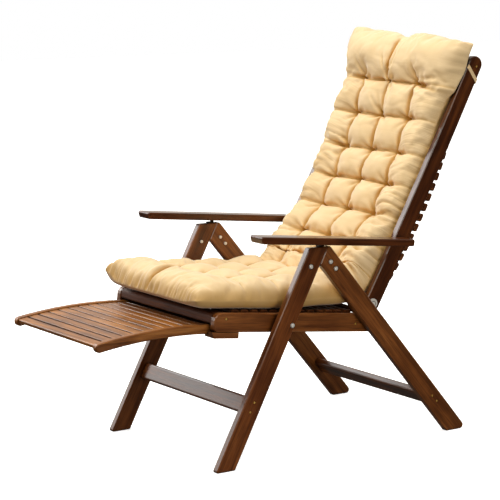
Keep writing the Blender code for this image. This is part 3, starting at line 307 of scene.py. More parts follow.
def light_studio():
    """A white backdrop, a warm room with its own sheen, and the softboxes."""
    world = bpy.data.worlds.new("white_studio")
    world.use_nodes = True
    tree = world.node_tree
    way = add(tree, "ShaderNodeSeparateXYZ", {"Vector": add(tree, "ShaderNodeTexCoord").outputs["Generated"]})
    ray = add(tree, "ShaderNodeLightPath").outputs
    room = add(tree, "ShaderNodeMapRange", {"Value": ray["Is Glossy Ray"],
                                            "To Min": room_brightness(tree, way, *ROOM_LIGHT),
                                            "To Max": room_brightness(tree, way, *ROOM_SHEEN)})
    strength = add(tree, "ShaderNodeMapRange", {"Value": ray["Is Camera Ray"], "To Min": room.outputs["Result"],
                                                "To Max": 1.0})
    colour = add(tree, "ShaderNodeMix", {"Factor": ray["Is Camera Ray"], COLOUR_A: WARM, COLOUR_B: WHITE}, **BLEND)
    wire(tree, tree.nodes["Background"], {"Color": colour.outputs[MIXED], "Strength": strength.outputs["Result"]})
    bpy.context.scene.world = world
    for name, place, size, power, lights, mirrored, tone in SOFTBOXES:
        bpy.ops.object.light_add(type="AREA", location=place)
        light = bpy.context.object
        light.name = name
        light.data.size = size
        light.data.energy = power
        light.data.color = tone[:3]
        light.visible_camera = False
        light.visible_diffuse = lights
        light.visible_glossy = mirrored
        aim(light, PHOTO_TARGET)
    bpy.context.scene.view_settings.view_transform = "Standard"


# -------------------- finishes of the solids

# Dark grain, middle, light grain, and the rubbed edge.
FRAME_TONES = ("4e250a", "703c17", "8a5124", "9d6536")
# The same stain, darker, for the stiles and armrests: painted shade, as less light reaches the upper boards.
SHADED_FRAME_TONES = ("3a1905", "562a0c", "6b3a13", "7c4c22")
# The same stain, lighter, for the seat rails, footrest guides and rear legs: painted light from the floor below.
LIT_FRAME_TONES = ("5d3212", "875024", "a06634", "b27a47")
# The footrest's lighter, golden wood, lightened further to stand in for the sheen on its top: partly its own colour,
# partly a painted sheen.
FOOTREST_TONES = ("703f14", "9d6229", "c38443", "855223")
# Weight of the clear coat, and how dull edges and faces are.
POLISHED, DULLED, WORN = (0.4, 0.22, 0.24), (0.1, 0.70, 0.24), (0.0, 0.20, 0.55)


def board_turn(slope):
    """Turns a board that runs in side view at slope (degrees above +Y) so that its length lies on X."""
    return (-math.radians(slope), 0.0, -math.pi / 2)


ACROSS = (0.0, 0.0, 0.0)
SEAT_SLOPE, FRONT_LEG_SLOPE, REAR_LEG_SLOPE, BACK_SLOPE, ARM_SLOPE = -6.4, 62.2, -49.2, 60.8, -5.77

BOARDS = (
    ("walnut_stain_worn", ACROSS, FRAME_TONES, WORN, ("seat_front_bar", "seat_slats", "back_slats")),
    ("walnut_stain_across", ACROSS, FRAME_TONES, POLISHED,
     ("seat_rear_bar", "front_stretcher", "rear_stretcher", "back_top_bar")),
    ("walnut_stain_seat_lit", board_turn(SEAT_SLOPE), LIT_FRAME_TONES, POLISHED,
     ("seat_rail_left", "seat_rail_right", "footrest_guide_left", "footrest_guide_right")),
    ("walnut_stain_front_leg", board_turn(FRONT_LEG_SLOPE), FRAME_TONES, POLISHED,
     ("front_leg_left", "front_leg_right")),
    ("walnut_stain_rear_leg_lit", board_turn(REAR_LEG_SLOPE), LIT_FRAME_TONES, POLISHED,
     ("rear_leg_left", "rear_leg_right")),
    ("walnut_stain_back_shaded", board_turn(BACK_SLOPE), SHADED_FRAME_TONES, POLISHED,
     ("back_stile_left", "back_stile_right")),
    ("walnut_stain_arm_shaded", board_turn(ARM_SLOPE), SHADED_FRAME_TONES, POLISHED, ("armrest_left", "armrest_right")),
    ("walnut_stain_footrest", ACROSS, FOOTREST_TONES, DULLED,
     ("footrest_nose", "footrest_end_bar", *(f"footrest_slat_{i:02d}" for i in range(1, 13)))),
    ("walnut_stain_footrest_rail", board_turn(0.0), FOOTREST_TONES, DULLED,
     ("footrest_rail_left", "footrest_rail_right")),
)
BLACKENED = ("armrest_catch", "armrest_rack")


def finish_solids(plated, blackened):
    """Boards get their wood, the steel under the armrests is blackened, and all other steel is plated."""
    for node in NODES.values():
        node.data.materials.clear()
        node.data.materials.append(plated)
    for name, turn, tones, finish, nodes in BOARDS:
        board = stained_beech(name, turn, tones, *finish)
        for node in nodes:
            NODES[node].data.materials[0] = board
    for name, _ in SIDES:
        for plate in BLACKENED:
            NODES[f"{plate}_{name}"].data.materials[0] = blackened


# -------------------- cushion: its filled form

# Side line of the slats' tops, from under the cushion's front edge to its head: runs of (length, curvature).
LINE_START = Vector((-0.3341, 0.4271))
LINE_SLOPE = math.radians(SEAT_SLOPE)
LINE_RUNS = ((0.4943, 0.0), (0.1484, 1 / 0.150), (0.6576, 1 / 1.2625), (0.0690, -1 / 0.140))
PAD_LENGTH = sum(length for length, _ in LINE_RUNS)

COLUMN_FACES = 17                # faces from one sewn column to the next
ROW_FACES = (20, 14, 14, 14, 19, 12, 13, 13, 13, 14, 14, 18)
START_FILL = 0.86                # share of the crown before the case is filled
START_LUMPS = 0.0015             # unevenness of the filling
LUMP_PATTERN = (40.0, 40.0, 0.0)
CASE_THICK = 0.1                 # of the flat case, before it is shaped
TUFT_COLUMNS = (-0.119, -0.004, 0.110)
TUFT_ROWS = (0.155, 0.265, 0.375, 0.485, 0.630, 0.722, 0.822, 0.918, 1.016, 1.122, 1.228)
SEAM_HALF = 0.002                # half the width of the seam band
SEAT_HALF, BACK_HALF = 0.236, 0.2205

# Stations along the cushion, (length from its front edge, value), joined smoothly.
HALF_WIDTHS = ((0.0, SEAT_HALF), (0.48, SEAT_HALF), (0.60, BACK_HALF), (1.190, BACK_HALF), (1.225, 0.241),
               (PAD_LENGTH, 0.249))
CROWNS = ((0.0, 0.080), (0.38, 0.088), (0.50, 0.104), (0.63, 0.122), (0.722, 0.114), (0.82, 0.098),
          (1.10, 0.094), (1.25, 0.086), (PAD_LENGTH, 0.080))
TUFT_HEIGHTS = ((0.0, 0.038), (0.38, 0.042), (0.485, 0.056), (0.63, 0.082), (0.722, 0.072), (0.82, 0.052),
                (PAD_LENGTH, 0.050))
# Underside above the slats: the cushion bridges their bend.
PAD_LIFTS = ((0.0, 0.001), (0.30, 0.001), (0.44, 0.011), (0.53, 0.018), (0.60, 0.018), (0.68, 0.008),
             (0.80, 0.001))
SEAM_HEIGHTS = ((0.0, 0.014), (0.10, 0.024), (0.30, 0.026), (0.44, 0.034), (0.52, 0.040), (0.65, 0.046),
                (1.12, 0.046), (1.25, 0.034), (PAD_LENGTH, 0.034))
EDGE_ROLLS = ((0.0, 0.085), (0.50, 0.075), (0.65, 0.036), (1.14, 0.036), (1.26, 0.070), (PAD_LENGTH, 0.070))
FRONT_ROLL, HEAD_ROLL = 0.105, 0.070
SIDE_SINK, END_SINK = 0.034, 0.045       # the underside rises to the seam over these widths
STILE_FRONT = ((0.60, 0.042), (0.68, 0.058), (0.76, 0.067), (0.88, 0.072), (1.00, 0.066), (1.08, 0.056),
               (1.16, 0.041), (1.24, 0.020), (1.345, -0.014))       # front faces of the stiles over the line
STILE_INNER = 0.2225
STILE_GAP, SIDE_GAP = 0.002, 0.001       # kept in front of the stiles and between them
OVER_STILES = 1.20               # from here up the cushion lies over the stiles, below it between them
LEG_ROOM, HEAD_ROOM = 0.2475, 0.2530     # the sides stay inside the legs; past them there is more room
LEGS_END = 0.8

# Spans say where a feature begins and where it is full: along the cushion, or across it from 0 to 1 at the sides.
TUFT_SWELL = (2.0, 0.80)         # powers of a tuft's profile: steep at the foot, flat on top
END_CELL = 0.05                  # the cells at both ends have no sewn columns past this length
CENTRE_PLEAT, PLEAT_SHARE = 0.03, 0.6    # half width of the pleat there, and how far it closes the cell
COLUMN_GROOVE, ROW_GROOVE = 0.44, 0.46   # shares of the crown left in the grooves between tufts
EDGE_ROW_GROOVES = ((0.50, 0.93), (0.65, 0.80))     # and at the sides
ROW_FLATTENS = (0.13, 0.20)      # over this distance from the middle
SIDE_SCALLOP = 0.002             # the sides pull in at the sewn rows
FRONT_TIPS = (0.024, 0.010)      # the front corners rise: far and near
TIP_ACROSS, TIP_ALONG = (0.70, 1.0), (0.09, 0.0)
FAR_CORNER_FILL = 0.55           # the far front corner is rounder than the others
FAR_CORNER_ALONG, FAR_CORNER_ACROSS = (0.16, 0.02), (0.30, 0.90)
HEAD_DROOP = 0.024               # the head's near edge hangs lower, over the stile
DROOP_ACROSS, DROOP_ALONG = (0.35, 1.0), (1.17, 1.30)
END_BOW, BOW_POWER = 0.006, 12   # the ends bow in between their corners
HEAD_NOTCH, NOTCH_HALF = 0.014, 0.16     # and the head has a notch at its centre pleat
FRONT_FAR_BOW, HEAD_NEAR_BOW, BOW_ACROSS = 0.010, 0.012, (0.2, 1.0)
BACK_BEGINS, BACK_ENDS = (0.62, 0.74), (1.20, 1.12)
OUTER_PART = (0.10, 0.21)        # distance from the middle where the sides begin to give way
FAR_BULGE, BULGE_HEIGHT = 0.014, (0.060, 0.080)     # the far side swells out over its stile
NEAR_TUCK = 0.006                # the near side stays between the stiles
FAR_HEAD_TUCK = 0.016            # the far side doesn't swell beside the head
HEAD_BEGINS, HEAD_ENDS, HEAD_OUTER = (1.19, 1.23), (1.36, 1.28), (0.10, 0.24)


def side_line(along):
    """(y, z, slope) of the slats' tops at lengths along the cushion from its front edge."""
    y, z, slope = LINE_START.x, LINE_START.y, LINE_SLOPE
    ahead = np.minimum(along, 0.0)
    ys, zs, slopes = y + ahead * math.cos(slope), z + ahead * math.sin(slope), np.full_like(along, slope)
    rest = np.maximum(along, 0.0)
    for k, (length, curve) in enumerate(LINE_RUNS):
        run = np.maximum(rest, 0.0) if k == len(LINE_RUNS) - 1 else np.clip(rest, 0.0, length)
        turned = slopes + run * curve
        if curve:
            ys = ys + (np.sin(turned) - np.sin(slopes)) / curve
            zs = zs + (np.cos(slopes) - np.cos(turned)) / curve
        else:
            ys = ys + run * np.cos(slopes)
            zs = zs + run * np.sin(slopes)
        slopes = turned
        rest = rest - length
    return ys, zs, slopes


def ease(low, high, value):
    """0 at low and 1 at high, smooth between them and level beyond; high may lie below low."""
    t = np.clip((value - low) / (high - low), 0.0, 1.0)
    return t * t * (3 - 2 * t)


def bell(distance, width):
    """1 at no distance, falling away smoothly over width."""
    return np.exp(-(distance / width) ** 2)


def at(stations, along):
    """A value between stations, joined smoothly."""
    result = np.full_like(along, stations[0][1])
    for (low, first), (high, second) in zip(stations, stations[1:]):
        result += (second - first) * ease(low, high, along)
    return result


def swelling(value, seams, low, high):
    """0 on each seam and 1 midway between two. Outer halves stay 1."""
    bounds = np.array([low, *seams, high])
    cell = np.clip(np.searchsorted(bounds, value) - 1, 0, len(bounds) - 2)
    part = 2.0 * (value - bounds[cell]) / (bounds[cell + 1] - bounds[cell]) - 1.0
    flat_top, steep_foot = TUFT_SWELL
    rise = (1.0 - np.abs(np.clip(part, -1.0, 1.0)) ** flat_top) ** steep_foot
    outer = ((cell == 0) & (part < 0.0)) | ((cell == len(bounds) - 2) & (part > 0.0))
    return np.where(outer, 1.0, rise)


def nearest(value, lines):
    return np.min([np.abs(value - line) for line in lines], axis=0)


def round_off(distance, width):
    """0 at an edge, 1 from width inwards, along a quarter circle."""
    return np.sqrt(1 - (1 - np.clip(distance / width, 0.0, 1.0)) ** 2)


def pad_shape(x, along, half, top, fill):
    """Places of the case's points from their flat places: top or underside, and how full it is."""
    across = x / half
    head = ease(TUFT_ROWS[-1], TUFT_ROWS[-1] + END_CELL, along)
    front = ease(TUFT_ROWS[0], TUFT_ROWS[0] - END_CELL, along)
    end_cell = np.maximum(head, front)
    along_rise = swelling(along, TUFT_ROWS, 0.0, PAD_LENGTH)
    across_rise = swelling(x, TUFT_COLUMNS, -SEAT_HALF, SEAT_HALF)
    pleat = bell(x - TUFT_COLUMNS[1], CENTRE_PLEAT)
    across_rise = across_rise + (1 - across_rise) * end_cell * (1 - PLEAT_SHARE * pleat)
    row_share = ROW_GROOVE + (at(EDGE_ROW_GROOVES, along) - ROW_GROOVE) * ease(*ROW_FLATTENS, np.abs(x))
    low = at(TUFT_HEIGHTS, along)
    full = low + fill * (at(CROWNS, along) - low) * (
        across_rise * along_rise + COLUMN_GROOVE * (1 - across_rise) * along_rise
        + row_share * across_rise * (1 - along_rise))
    to_end = np.minimum(along, PAD_LENGTH - along)
    to_side = half - np.abs(x)
    seam = at(SEAM_HEIGHTS, along) - HEAD_DROOP * ease(*DROOP_ACROSS, across) * ease(*DROOP_ALONG, along)
    tip = np.where(x < 0, FRONT_TIPS[0], FRONT_TIPS[1])
    seam += tip * ease(*TIP_ACROSS, np.abs(across)) * ease(*TIP_ALONG, along)
    plump = 1.0 - FAR_CORNER_FILL * ease(*FAR_CORNER_ALONG, along) * ease(*FAR_CORNER_ACROSS, -across)
    side_roll = round_off(to_side, at(EDGE_ROLLS, along) * plump)
    end_roll = round_off(to_end, np.where(along < PAD_LENGTH / 2, FRONT_ROLL * plump, HEAD_ROLL))
    rolled = (side_roll * end_roll + np.minimum(side_roll, end_roll)) / 2
    height_top = seam + SEAM_HALF + (full - seam - SEAM_HALF) * rolled
    lift = at(PAD_LIFTS, along)
    sink = round_off(to_side, SIDE_SINK) * round_off(to_end, END_SINK)
    height_under = lift + (seam - SEAM_HALF - lift) * (1 - sink)
    height = np.where(top, height_top, height_under)
    ends = 2.0 * along / PAD_LENGTH - 1.0
    bow = END_BOW * (1.0 - across ** 2) + HEAD_NOTCH * bell(across, NOTCH_HALF) * head
    bow += FRONT_FAR_BOW * ease(*BOW_ACROSS, -across) * front + HEAD_NEAR_BOW * ease(*BOW_ACROSS, across) * head
    y, z, slope = side_line(along - np.sign(ends) * np.abs(ends) ** BOW_POWER * bow)
    back = ease(*BACK_BEGINS, along) * ease(*BACK_ENDS, along)
    x = x - FAR_BULGE * back * ease(*OUTER_PART, -x) * ease(*BULGE_HEIGHT, height)
    x = x + FAR_HEAD_TUCK * ease(*HEAD_BEGINS, along) * ease(*HEAD_ENDS, along) * ease(*HEAD_OUTER, -x)
    x = x - NEAR_TUCK * back * ease(*OUTER_PART, x)
    return np.stack([x, y - np.sin(slope) * height, z + np.cos(slope) * height], axis=1)


def keep_clear(points, along):
    """Keeps the filled case off the stiles and legs: beside the stiles low down, over them at the head."""
    y, z, slope = side_line(along)
    height = -np.sin(slope) * (points[:, 1] - y) + np.cos(slope) * (points[:, 2] - z)
    places, fronts = np.array(STILE_FRONT).T
    front = np.interp(along, places, fronts) + STILE_GAP
    beside = (along > places[0]) & (along < places[-1]) & (height < front)
    limit = np.where(along > LEGS_END, HEAD_ROOM, LEG_ROOM)
    between = (along > places[0]) & (along < OVER_STILES) & (beside | (points[:, 0] > 0.0))
    limit = np.where(between, STILE_INNER - SIDE_GAP, limit)
    lift = np.where(beside & (along >= OVER_STILES) & (np.abs(points[:, 0]) > STILE_INNER - STILE_GAP),
                    front - height, 0.0)
    points[:, 0] = np.clip(points[:, 0], -limit, limit)
    points[:, 1] -= np.sin(slope) * lift
    points[:, 2] += np.cos(slope) * lift
    return points


def read_points(mesh):
    points = np.empty(len(mesh.vertices) * 3)
    mesh.vertices.foreach_get("co", points)
    return points.reshape(-1, 3)


def write_points(mesh, points):
    mesh.vertices.foreach_set("co", np.ascontiguousarray(points).ravel())
    mesh.update()


# Cotton canvas that bends easily, with 5% of spare cloth, round a soft filling.
CASE_CLOTH = {"quality": 6, "mass": 0.2, "tension_stiffness": 12.0, "compression_stiffness": 12.0,
              "shear_stiffness": 4.0, "bending_stiffness": 0.02, "pin_stiffness": 1.0, "shrink_min": -0.05,
              "use_pressure": True, "uniform_pressure_force": 4.0}
SWELL_FRAMES = 20
SWELL_CAP = 0.022
SEWN_HOLD = 0.6                  # how firmly sewn lines are held; tufts, seam and underside don't move
ON_LINE, ON_TUFT = 0.001, 0.002  # a point this near to a sewn line or a tuft is on it
SEAM_EDGE, LUMPS_FROM = 0.002, 0.004     # distance from the edge that the seam takes up, and where lumps begin


def swell(pad, held):
    """Fills the case by simulation: the tufts, the sewn lines, the seam and the underside are held."""
    group = pad.vertex_groups.new(name="held")
    steps = np.round(held, 2)
    for weight in np.unique(steps[steps > 0]):
        group.add([int(i) for i in np.nonzero(steps == weight)[0]], float(weight), "REPLACE")
    start = read_points(pad.data)
    modifier = pad.modifiers.new("swell", "CLOTH")
    cloth = modifier.settings
    for name, value in CASE_CLOTH.items():
        setattr(cloth, name, value)
    cloth.vertex_group_mass = group.name
    cloth.effector_weights.gravity = 0.0
    modifier.collision_settings.use_collision = False
    modifier.point_cache.frame_end = SWELL_FRAMES
    scene = bpy.context.scene
    for step in range(1, SWELL_FRAMES + 1):
        scene.frame_set(step)
    deselect_all()
    bpy.context.view_layer.objects.active = pad
    bpy.ops.object.modifier_apply(modifier=modifier.name)
    scene.frame_set(1)
    moved = read_points(pad.data) - start
    length = np.linalg.norm(moved, axis=1)
    moved *= np.minimum(1.0, SWELL_CAP / np.maximum(length, 1e-9))[:, None]
    write_points(pad.data, start + moved)
    pad.vertex_groups.clear()


# -------------------- cushion: pleats, gathers and drag lines

# Creases that show most: from (x, along) to (x, along), depth, half width.
PLEATS = (
    ((-0.004, 1.228), (-0.006, 1.362), 0.0080, 0.0060),
    ((-0.004, 1.228), (-0.040, 1.315), 0.0065, 0.0045),
    ((-0.004, 1.230), (-0.022, 1.335), 0.0040, 0.0040),
    ((-0.002, 1.236), (0.026, 1.330), 0.0062, 0.0045),
    ((-0.119, 1.228), (-0.150, 1.285), 0.0045, 0.0055),
    ((-0.119, 1.228), (-0.225, 1.240), 0.0050, 0.0050),
    ((0.110, 1.228), (0.098, 1.300), 0.0050, 0.0060),
    ((0.122, 1.226), (0.240, 1.206), 0.0068, 0.0070),
    ((0.118, 1.240), (0.210, 1.250), 0.0035, 0.0050),
    ((0.118, 1.215), (0.205, 1.190), 0.0030, 0.0045),
    ((-0.004, 0.155), (-0.010, 0.080), 0.0090, 0.0070),
    ((-0.010, 0.085), (-0.012, 0.004), 0.0200, 0.0085),
    ((-0.004, 0.150), (0.030, 0.050), 0.0040, 0.0045),
    ((-0.004, 0.150), (-0.040, 0.060), 0.0040, 0.0045),
    ((0.110, 0.155), (0.125, 0.080), 0.0035, 0.0055),
    ((-0.119, 0.155), (-0.130, 0.085), 0.0035, 0.0055),
    ((-0.004, 1.122), (-0.050, 1.180), 0.0040, 0.0045),
    ((-0.004, 1.122), (-0.030, 1.190), 0.0030, 0.0040),
    ((0.110, 0.630), (0.228, 0.560), 0.0065, 0.0075),
    ((0.110, 0.630), (0.226, 0.604), 0.0050, 0.0065),
    ((0.110, 0.485), (0.230, 0.535), 0.0055, 0.0070),
    ((0.112, 0.722), (0.222, 0.664), 0.0050, 0.0065),
    ((-0.119, 0.630), (-0.232, 0.572), 0.0065, 0.0070),
    ((-0.119, 0.630), (-0.228, 0.612), 0.0050, 0.0060),
    ((-0.119, 0.722), (-0.226, 0.690), 0.0045, 0.0060),
)
PLEAT_TAPER = 0.8                # share of its depth that a pleat loses towards its end
PLEAT_LIP, LIP_OFF = 0.45, 2.2   # share that rises beside it, and how many half widths away

SEWN_LINE, SEWN_ROW = 0.0056, 0.7        # depth of the sewn columns, and share of it in the rows
COLUMN_WIDE, ROW_WIDE = 0.0050, 0.0045
SEWN_RUN_OUT = 0.03              # the columns run out over this length past the end rows
ROW_ENDS = ((0.50, 0.40), (0.65, 0.65))      # share of a sewn row's depth at the sides: seat, back
ROW_FADES = (0.13, 0.18)         # over this distance from the middle

TUFT_GATHER = 0.0026
STAR_RAYS = ((5, 1.0, 1.0), (8, 0.7, -2.3))      # rays round a tuft, their depth, and their share of the turn
STAR_TURN, STAR_PATTERN = 7.0, (31.0, 37.0, 1.7)
STAR_REACH, STAR_DEEPEST, STAR_WIDE, STAR_BEGINS = 0.075, 0.016, 0.024, (0.003, 0.012)

# Patterns of creases: how many per metre across and along, and a seed.
FRONT_GATHER, FRONT_PATTERN, FRONT_WIDE = 0.0038, (75.0, 6.0, 8.3), 0.024
HEAD_GATHER, HEAD_PATTERN, HEAD_WIDE = 0.6 * FRONT_GATHER, (60.0, 6.0, 9.7), 0.025
SIDE_GATHER, SIDE_PATTERN, SIDE_WIDE = 0.0012, (5.0, 62.0, 4.1), 0.030
DRAG_LINES, DRAG_PATTERN = 0.0040, (6.0, 36.0, 12.9)
FINE_CREASES, FINE_PATTERN = 0.0010, (15.0, 26.0, 21.0)
CREASE_SHARP, SWELL_FLOOR = 4.5, -0.4    # how narrow a crease is, and how far the cloth rises between two
DRAG_RISE, DRAG_SINK = 0.60, 3.6 # drag lines leave the outer tufts towards the head, and sink again to the seam
DRAG_BEGINS, DRAG_ENDS = (0.0, 0.03), (1.25, 1.20)
PATCH_PATTERN, PATCH_SPAN = (9.0, 9.0, 33.0), (-0.25, 0.30)      # gathers and drag lines come in patches
SEAT_PATCHES, BACK_PATCHES, PATCHES_GROW = 0.4, 0.6, (0.52, 0.66)        # share on the seat, and added on the back


def wavy(x, along, across_scale, along_scale, seed):
    """Smooth noise with its own scale across and along."""
    return np.array([noise.noise(Vector((a * across_scale, b * along_scale, seed))) for a, b in zip(x, along)])


def ridges(x, along, pattern):
    """Narrow creases between broad swells: 1 in a crease."""
    return np.maximum(1.0 - CREASE_SHARP * np.abs(wavy(x, along, *pattern)), SWELL_FLOOR)


def row_reach(x, along):
    """How much of a sewn row is left towards the sides."""
    return 1.0 - (1.0 - at(ROW_ENDS, along)) * ease(*ROW_FADES, np.abs(x))


def between_end_rows(along, run_out):
    """1 from the first sewn row to the last, running out past them."""
    return (ease(TUFT_ROWS[0] - run_out, TUFT_ROWS[0], along)
            * ease(TUFT_ROWS[-1] + run_out, TUFT_ROWS[-1], along))


def dragged(x, along):
    """How far a point lies outside the outer tufts, and its length along a drag line's way."""
    beyond = np.maximum(np.abs(x) - TUFT_COLUMNS[2], 0.0)
    return beyond, along - DRAG_RISE * beyond + DRAG_SINK * beyond ** 2


def crease_depth(x, along, half):
    """How far the cloth lies below the filled form, from sewn lines, pleats, gathers and drag lines."""
    depth = np.zeros_like(x)
    depth += SEWN_LINE * between_end_rows(along, SEWN_RUN_OUT) * bell(nearest(x, TUFT_COLUMNS), COLUMN_WIDE)
    depth += SEWN_ROW * SEWN_LINE * row_reach(x, along) * bell(nearest(along, TUFT_ROWS), ROW_WIDE)
    for (x0, s0), (x1, s1), deep, wide in PLEATS:
        length2 = (x1 - x0) ** 2 + (s1 - s0) ** 2
        t = np.clip(((x - x0) * (x1 - x0) + (along - s0) * (s1 - s0)) / length2, 0.0, 1.0)
        off = np.hypot(x - x0 - t * (x1 - x0), along - s0 - t * (s1 - s0))
        taper = 1.0 - t ** 2 * PLEAT_TAPER
        depth += deep * taper * (bell(off, wide) - PLEAT_LIP * bell(off - LIP_OFF * wide, wide))
    for row in TUFT_ROWS:
        for column in TUFT_COLUMNS:
            away = np.hypot(x - column, along - row)
            near = away < STAR_REACH
            angle = np.arctan2(along[near] - row, x[near] - column)
            turn = STAR_TURN * wavy((column,), (row,), *STAR_PATTERN)[0]
            star = sum(deep * np.sin(rays * angle + share * turn) for rays, deep, share in STAR_RAYS)
            fade = bell(away[near] - STAR_DEEPEST, STAR_WIDE) * ease(*STAR_BEGINS, away[near])
            depth[near] += TUFT_GATHER * star * fade
    patchy = ease(*PATCH_SPAN, wavy(x, along, *PATCH_PATTERN)) * (
        SEAT_PATCHES + BACK_PATCHES * ease(*PATCHES_GROW, along))
    depth += FRONT_GATHER * ridges(x, along, FRONT_PATTERN) * bell(along, FRONT_WIDE)
    depth += HEAD_GATHER * ridges(x, along, HEAD_PATTERN) * bell(PAD_LENGTH - along, HEAD_WIDE)
    depth += SIDE_GATHER * patchy * ridges(x, along, SIDE_PATTERN) * bell(half - np.abs(x), SIDE_WIDE)
    beyond, way = dragged(x, along)
    depth += (DRAG_LINES * ease(*DRAG_BEGINS, beyond) * ease(*DRAG_ENDS, along) * patchy
              * ridges(x, way, DRAG_PATTERN))
    depth += FINE_CREASES * ridges(x, along, FINE_PATTERN)
    return depth


ON_TOP = (0.4, 0.9)              # from the seam to the top side, where the underside is 0 and the top side 1
AT_SEAM = (0.1, 0.6)
# How dark the painted fold shade is, and over what width: in tufts, sewn columns and sewn rows.
TUFT_FOLD, COLUMN_FOLD, ROW_FOLD = (1.0, 0.008), (0.90, 0.0036), (0.75, 0.0034)
FOLD_RUN_OUT = 0.01
FOLD_FROM, FOLD_DEPTH = 0.001, 0.008     # other creases get painted shade from this depth, and full shade over that much more
SEAM_SHADE, SEAM_SHADE_WIDE, SEAM_SHADE_ENDS = 0.68, 0.015, (0.62, 0.48)     # painted shade on the seat's lower edge and underside
# Strength of the fine drag lines in the cloth: everywhere, and added on the back's near and far sides.
DRAG_ALL, DRAG_NEAR, DRAG_FAR = 0.10, 0.45, 0.20
FINE_DRAG_BEGINS, FINE_DRAG_FROM, FINE_DRAG_TO = (0.0, 0.04), (0.55, 0.68), (1.24, 1.19)


def store(mesh, name, kind, field, values):
    """Keeps a value for each point of the mesh under a name that a material can read."""
    mesh.attributes.new(name, kind, "POINT").data.foreach_set(field, values.astype(np.float32).ravel())


def crease(pad):
    """Presses the creases into the filled case, and keeps its flat places as UVs and its painted fold shade for the
    cloth.
    """
    mesh = pad.data
    count = len(mesh.vertices)
    spread = np.empty(count * 3)
    mesh.attributes["spread"].data.foreach_get("vector", spread)
    x, along, top = spread.reshape(-1, 3).T.copy()
    half = at(HALF_WIDTHS, along)
    on_top = ease(*ON_TOP, top)
    depth = crease_depth(x, along, half) * on_top
    normals = np.empty(count * 3)
    mesh.vertex_normals.foreach_get("vector", normals)
    write_points(mesh, keep_clear(read_points(mesh) - normals.reshape(-1, 3) * depth[:, None], along))
    to_column, to_row = nearest(x, TUFT_COLUMNS), nearest(along, TUFT_ROWS)
    folds = ((*TUFT_FOLD, np.hypot(to_column, to_row), 1.0),
             (*COLUMN_FOLD, to_column, between_end_rows(along, FOLD_RUN_OUT)),
             (*ROW_FOLD, to_row, row_reach(x, along)))
    # Painted shade in creases, tufts and sewn lines.
    fold_shade = (depth - FOLD_FROM) / FOLD_DEPTH
    for dark, wide, off, share in folds:
        fold_shade = np.maximum(fold_shade, dark * share * bell(off, wide))
    fold_shade = np.clip(fold_shade, 0.0, 1.0) * on_top
    # The seat's lower edge and underside lie in shade: painted shade, in the fold colour.
    low_edge_shade = bell(np.minimum(half - np.abs(x), along), SEAM_SHADE_WIDE) * ease(*AT_SEAM, top)
    fold_shade = np.maximum(fold_shade, SEAM_SHADE * ease(*SEAM_SHADE_ENDS, along) * np.maximum(low_edge_shade, 1.0 - on_top))
    beyond, way = dragged(x, along)
    drag = DRAG_ALL + np.where(x > 0.0, DRAG_NEAR, DRAG_FAR) * (
        ease(*FINE_DRAG_BEGINS, beyond) * ease(*FINE_DRAG_FROM, along) * ease(*FINE_DRAG_TO, along))
    store(mesh, "fold_shade", "FLOAT", "value", fold_shade)
    store(mesh, "pull", "FLOAT_VECTOR", "vector", np.stack([x, way, 0.0 * x], axis=1))
    store(mesh, "drag", "FLOAT", "value", drag * on_top)
    layer = mesh.uv_layers.active or mesh.uv_layers.new(name="cloth")
    corner = np.empty(len(mesh.loops), dtype=np.int32)
    mesh.loops.foreach_get("vertex_index", corner)
    layer.data.foreach_set("uv", np.stack([x[corner], along[corner]], axis=1).ravel())
    mesh.attributes.remove(mesh.attributes["spread"])


def make_cushion(material):
    """The cushion: a flat case whose grid follows the sewn lines, shaped, filled by simulation and creased."""
    cells = len(TUFT_COLUMNS) + 1
    deselect_all()
    bpy.ops.mesh.primitive_grid_add(x_subdivisions=cells * COLUMN_FACES, y_subdivisions=sum(ROW_FACES), size=2.0)
    pad = bpy.context.object
    pad.name = pad.data.name = "tufted_cushion"
    wall = pad.modifiers.new("underside", "SOLIDIFY")
    wall.thickness = CASE_THICK
    wall.offset = -1.0
    bpy.ops.object.modifier_apply(modifier=wall.name)
    flat = read_points(pad.data)
    top = flat[:, 2] > -CASE_THICK / 2
    faces = np.concatenate([[0], np.cumsum(ROW_FACES)])
    along = np.interp((flat[:, 1] + 1.0) / 2.0 * faces[-1], faces, (0.0, *TUFT_ROWS, PAD_LENGTH))
    half = at(HALF_WIDTHS, along) - SIDE_SCALLOP * (1.0 - swelling(along, TUFT_ROWS, 0.0, PAD_LENGTH))
    columns = np.stack([-half, *(np.full_like(half, c) for c in TUFT_COLUMNS), half])
    place = (flat[:, 0] + 1.0) / 2.0 * cells
    cell = np.clip(np.floor(place + 1e-6), 0, cells - 1).astype(int)
    each = np.arange(len(place))
    x = columns[cell, each] + (place - cell) * (columns[cell + 1, each] - columns[cell, each])
    points = pad_shape(x, along, half, top, START_FILL)
    edge = np.minimum(half - np.abs(x), np.minimum(along, PAD_LENGTH - along))
    points[:, 2] += np.where(top & (edge > LUMPS_FROM), START_LUMPS * wavy(x, along, *LUMP_PATTERN), 0.0)
    write_points(pad.data, points)
    to_column, to_row = nearest(x, TUFT_COLUMNS), nearest(along, TUFT_ROWS)
    inside = (along > TUFT_ROWS[0] - ON_LINE) & (along < TUFT_ROWS[-1] + ON_LINE)
    sewn = ((to_column < ON_LINE) & inside) | (to_row < ON_LINE)
    tuft = np.hypot(to_column, to_row) < ON_TUFT
    held = np.where(~top | (edge < SEAM_EDGE) | tuft, 1.0, np.where(sewn, SEWN_HOLD, 0.0))
    swell(pad, held)
    write_points(pad.data, keep_clear(read_points(pad.data), along))
    store(pad.data, "spread", "FLOAT_VECTOR", "vector", np.stack([x, along, top.astype(float)], axis=1))
    finer = pad.modifiers.new("finer", "SUBSURF")
    finer.levels = finer.render_levels = 1
    bpy.context.view_layer.objects.active = pad
    bpy.ops.object.modifier_apply(modifier=finer.name)
    crease(pad)
    pad.data.materials.append(material)
    pad.select_set(True)
    bpy.ops.object.shade_smooth()
    return pad


# -------------------- straps that hold the cushion to the stiles

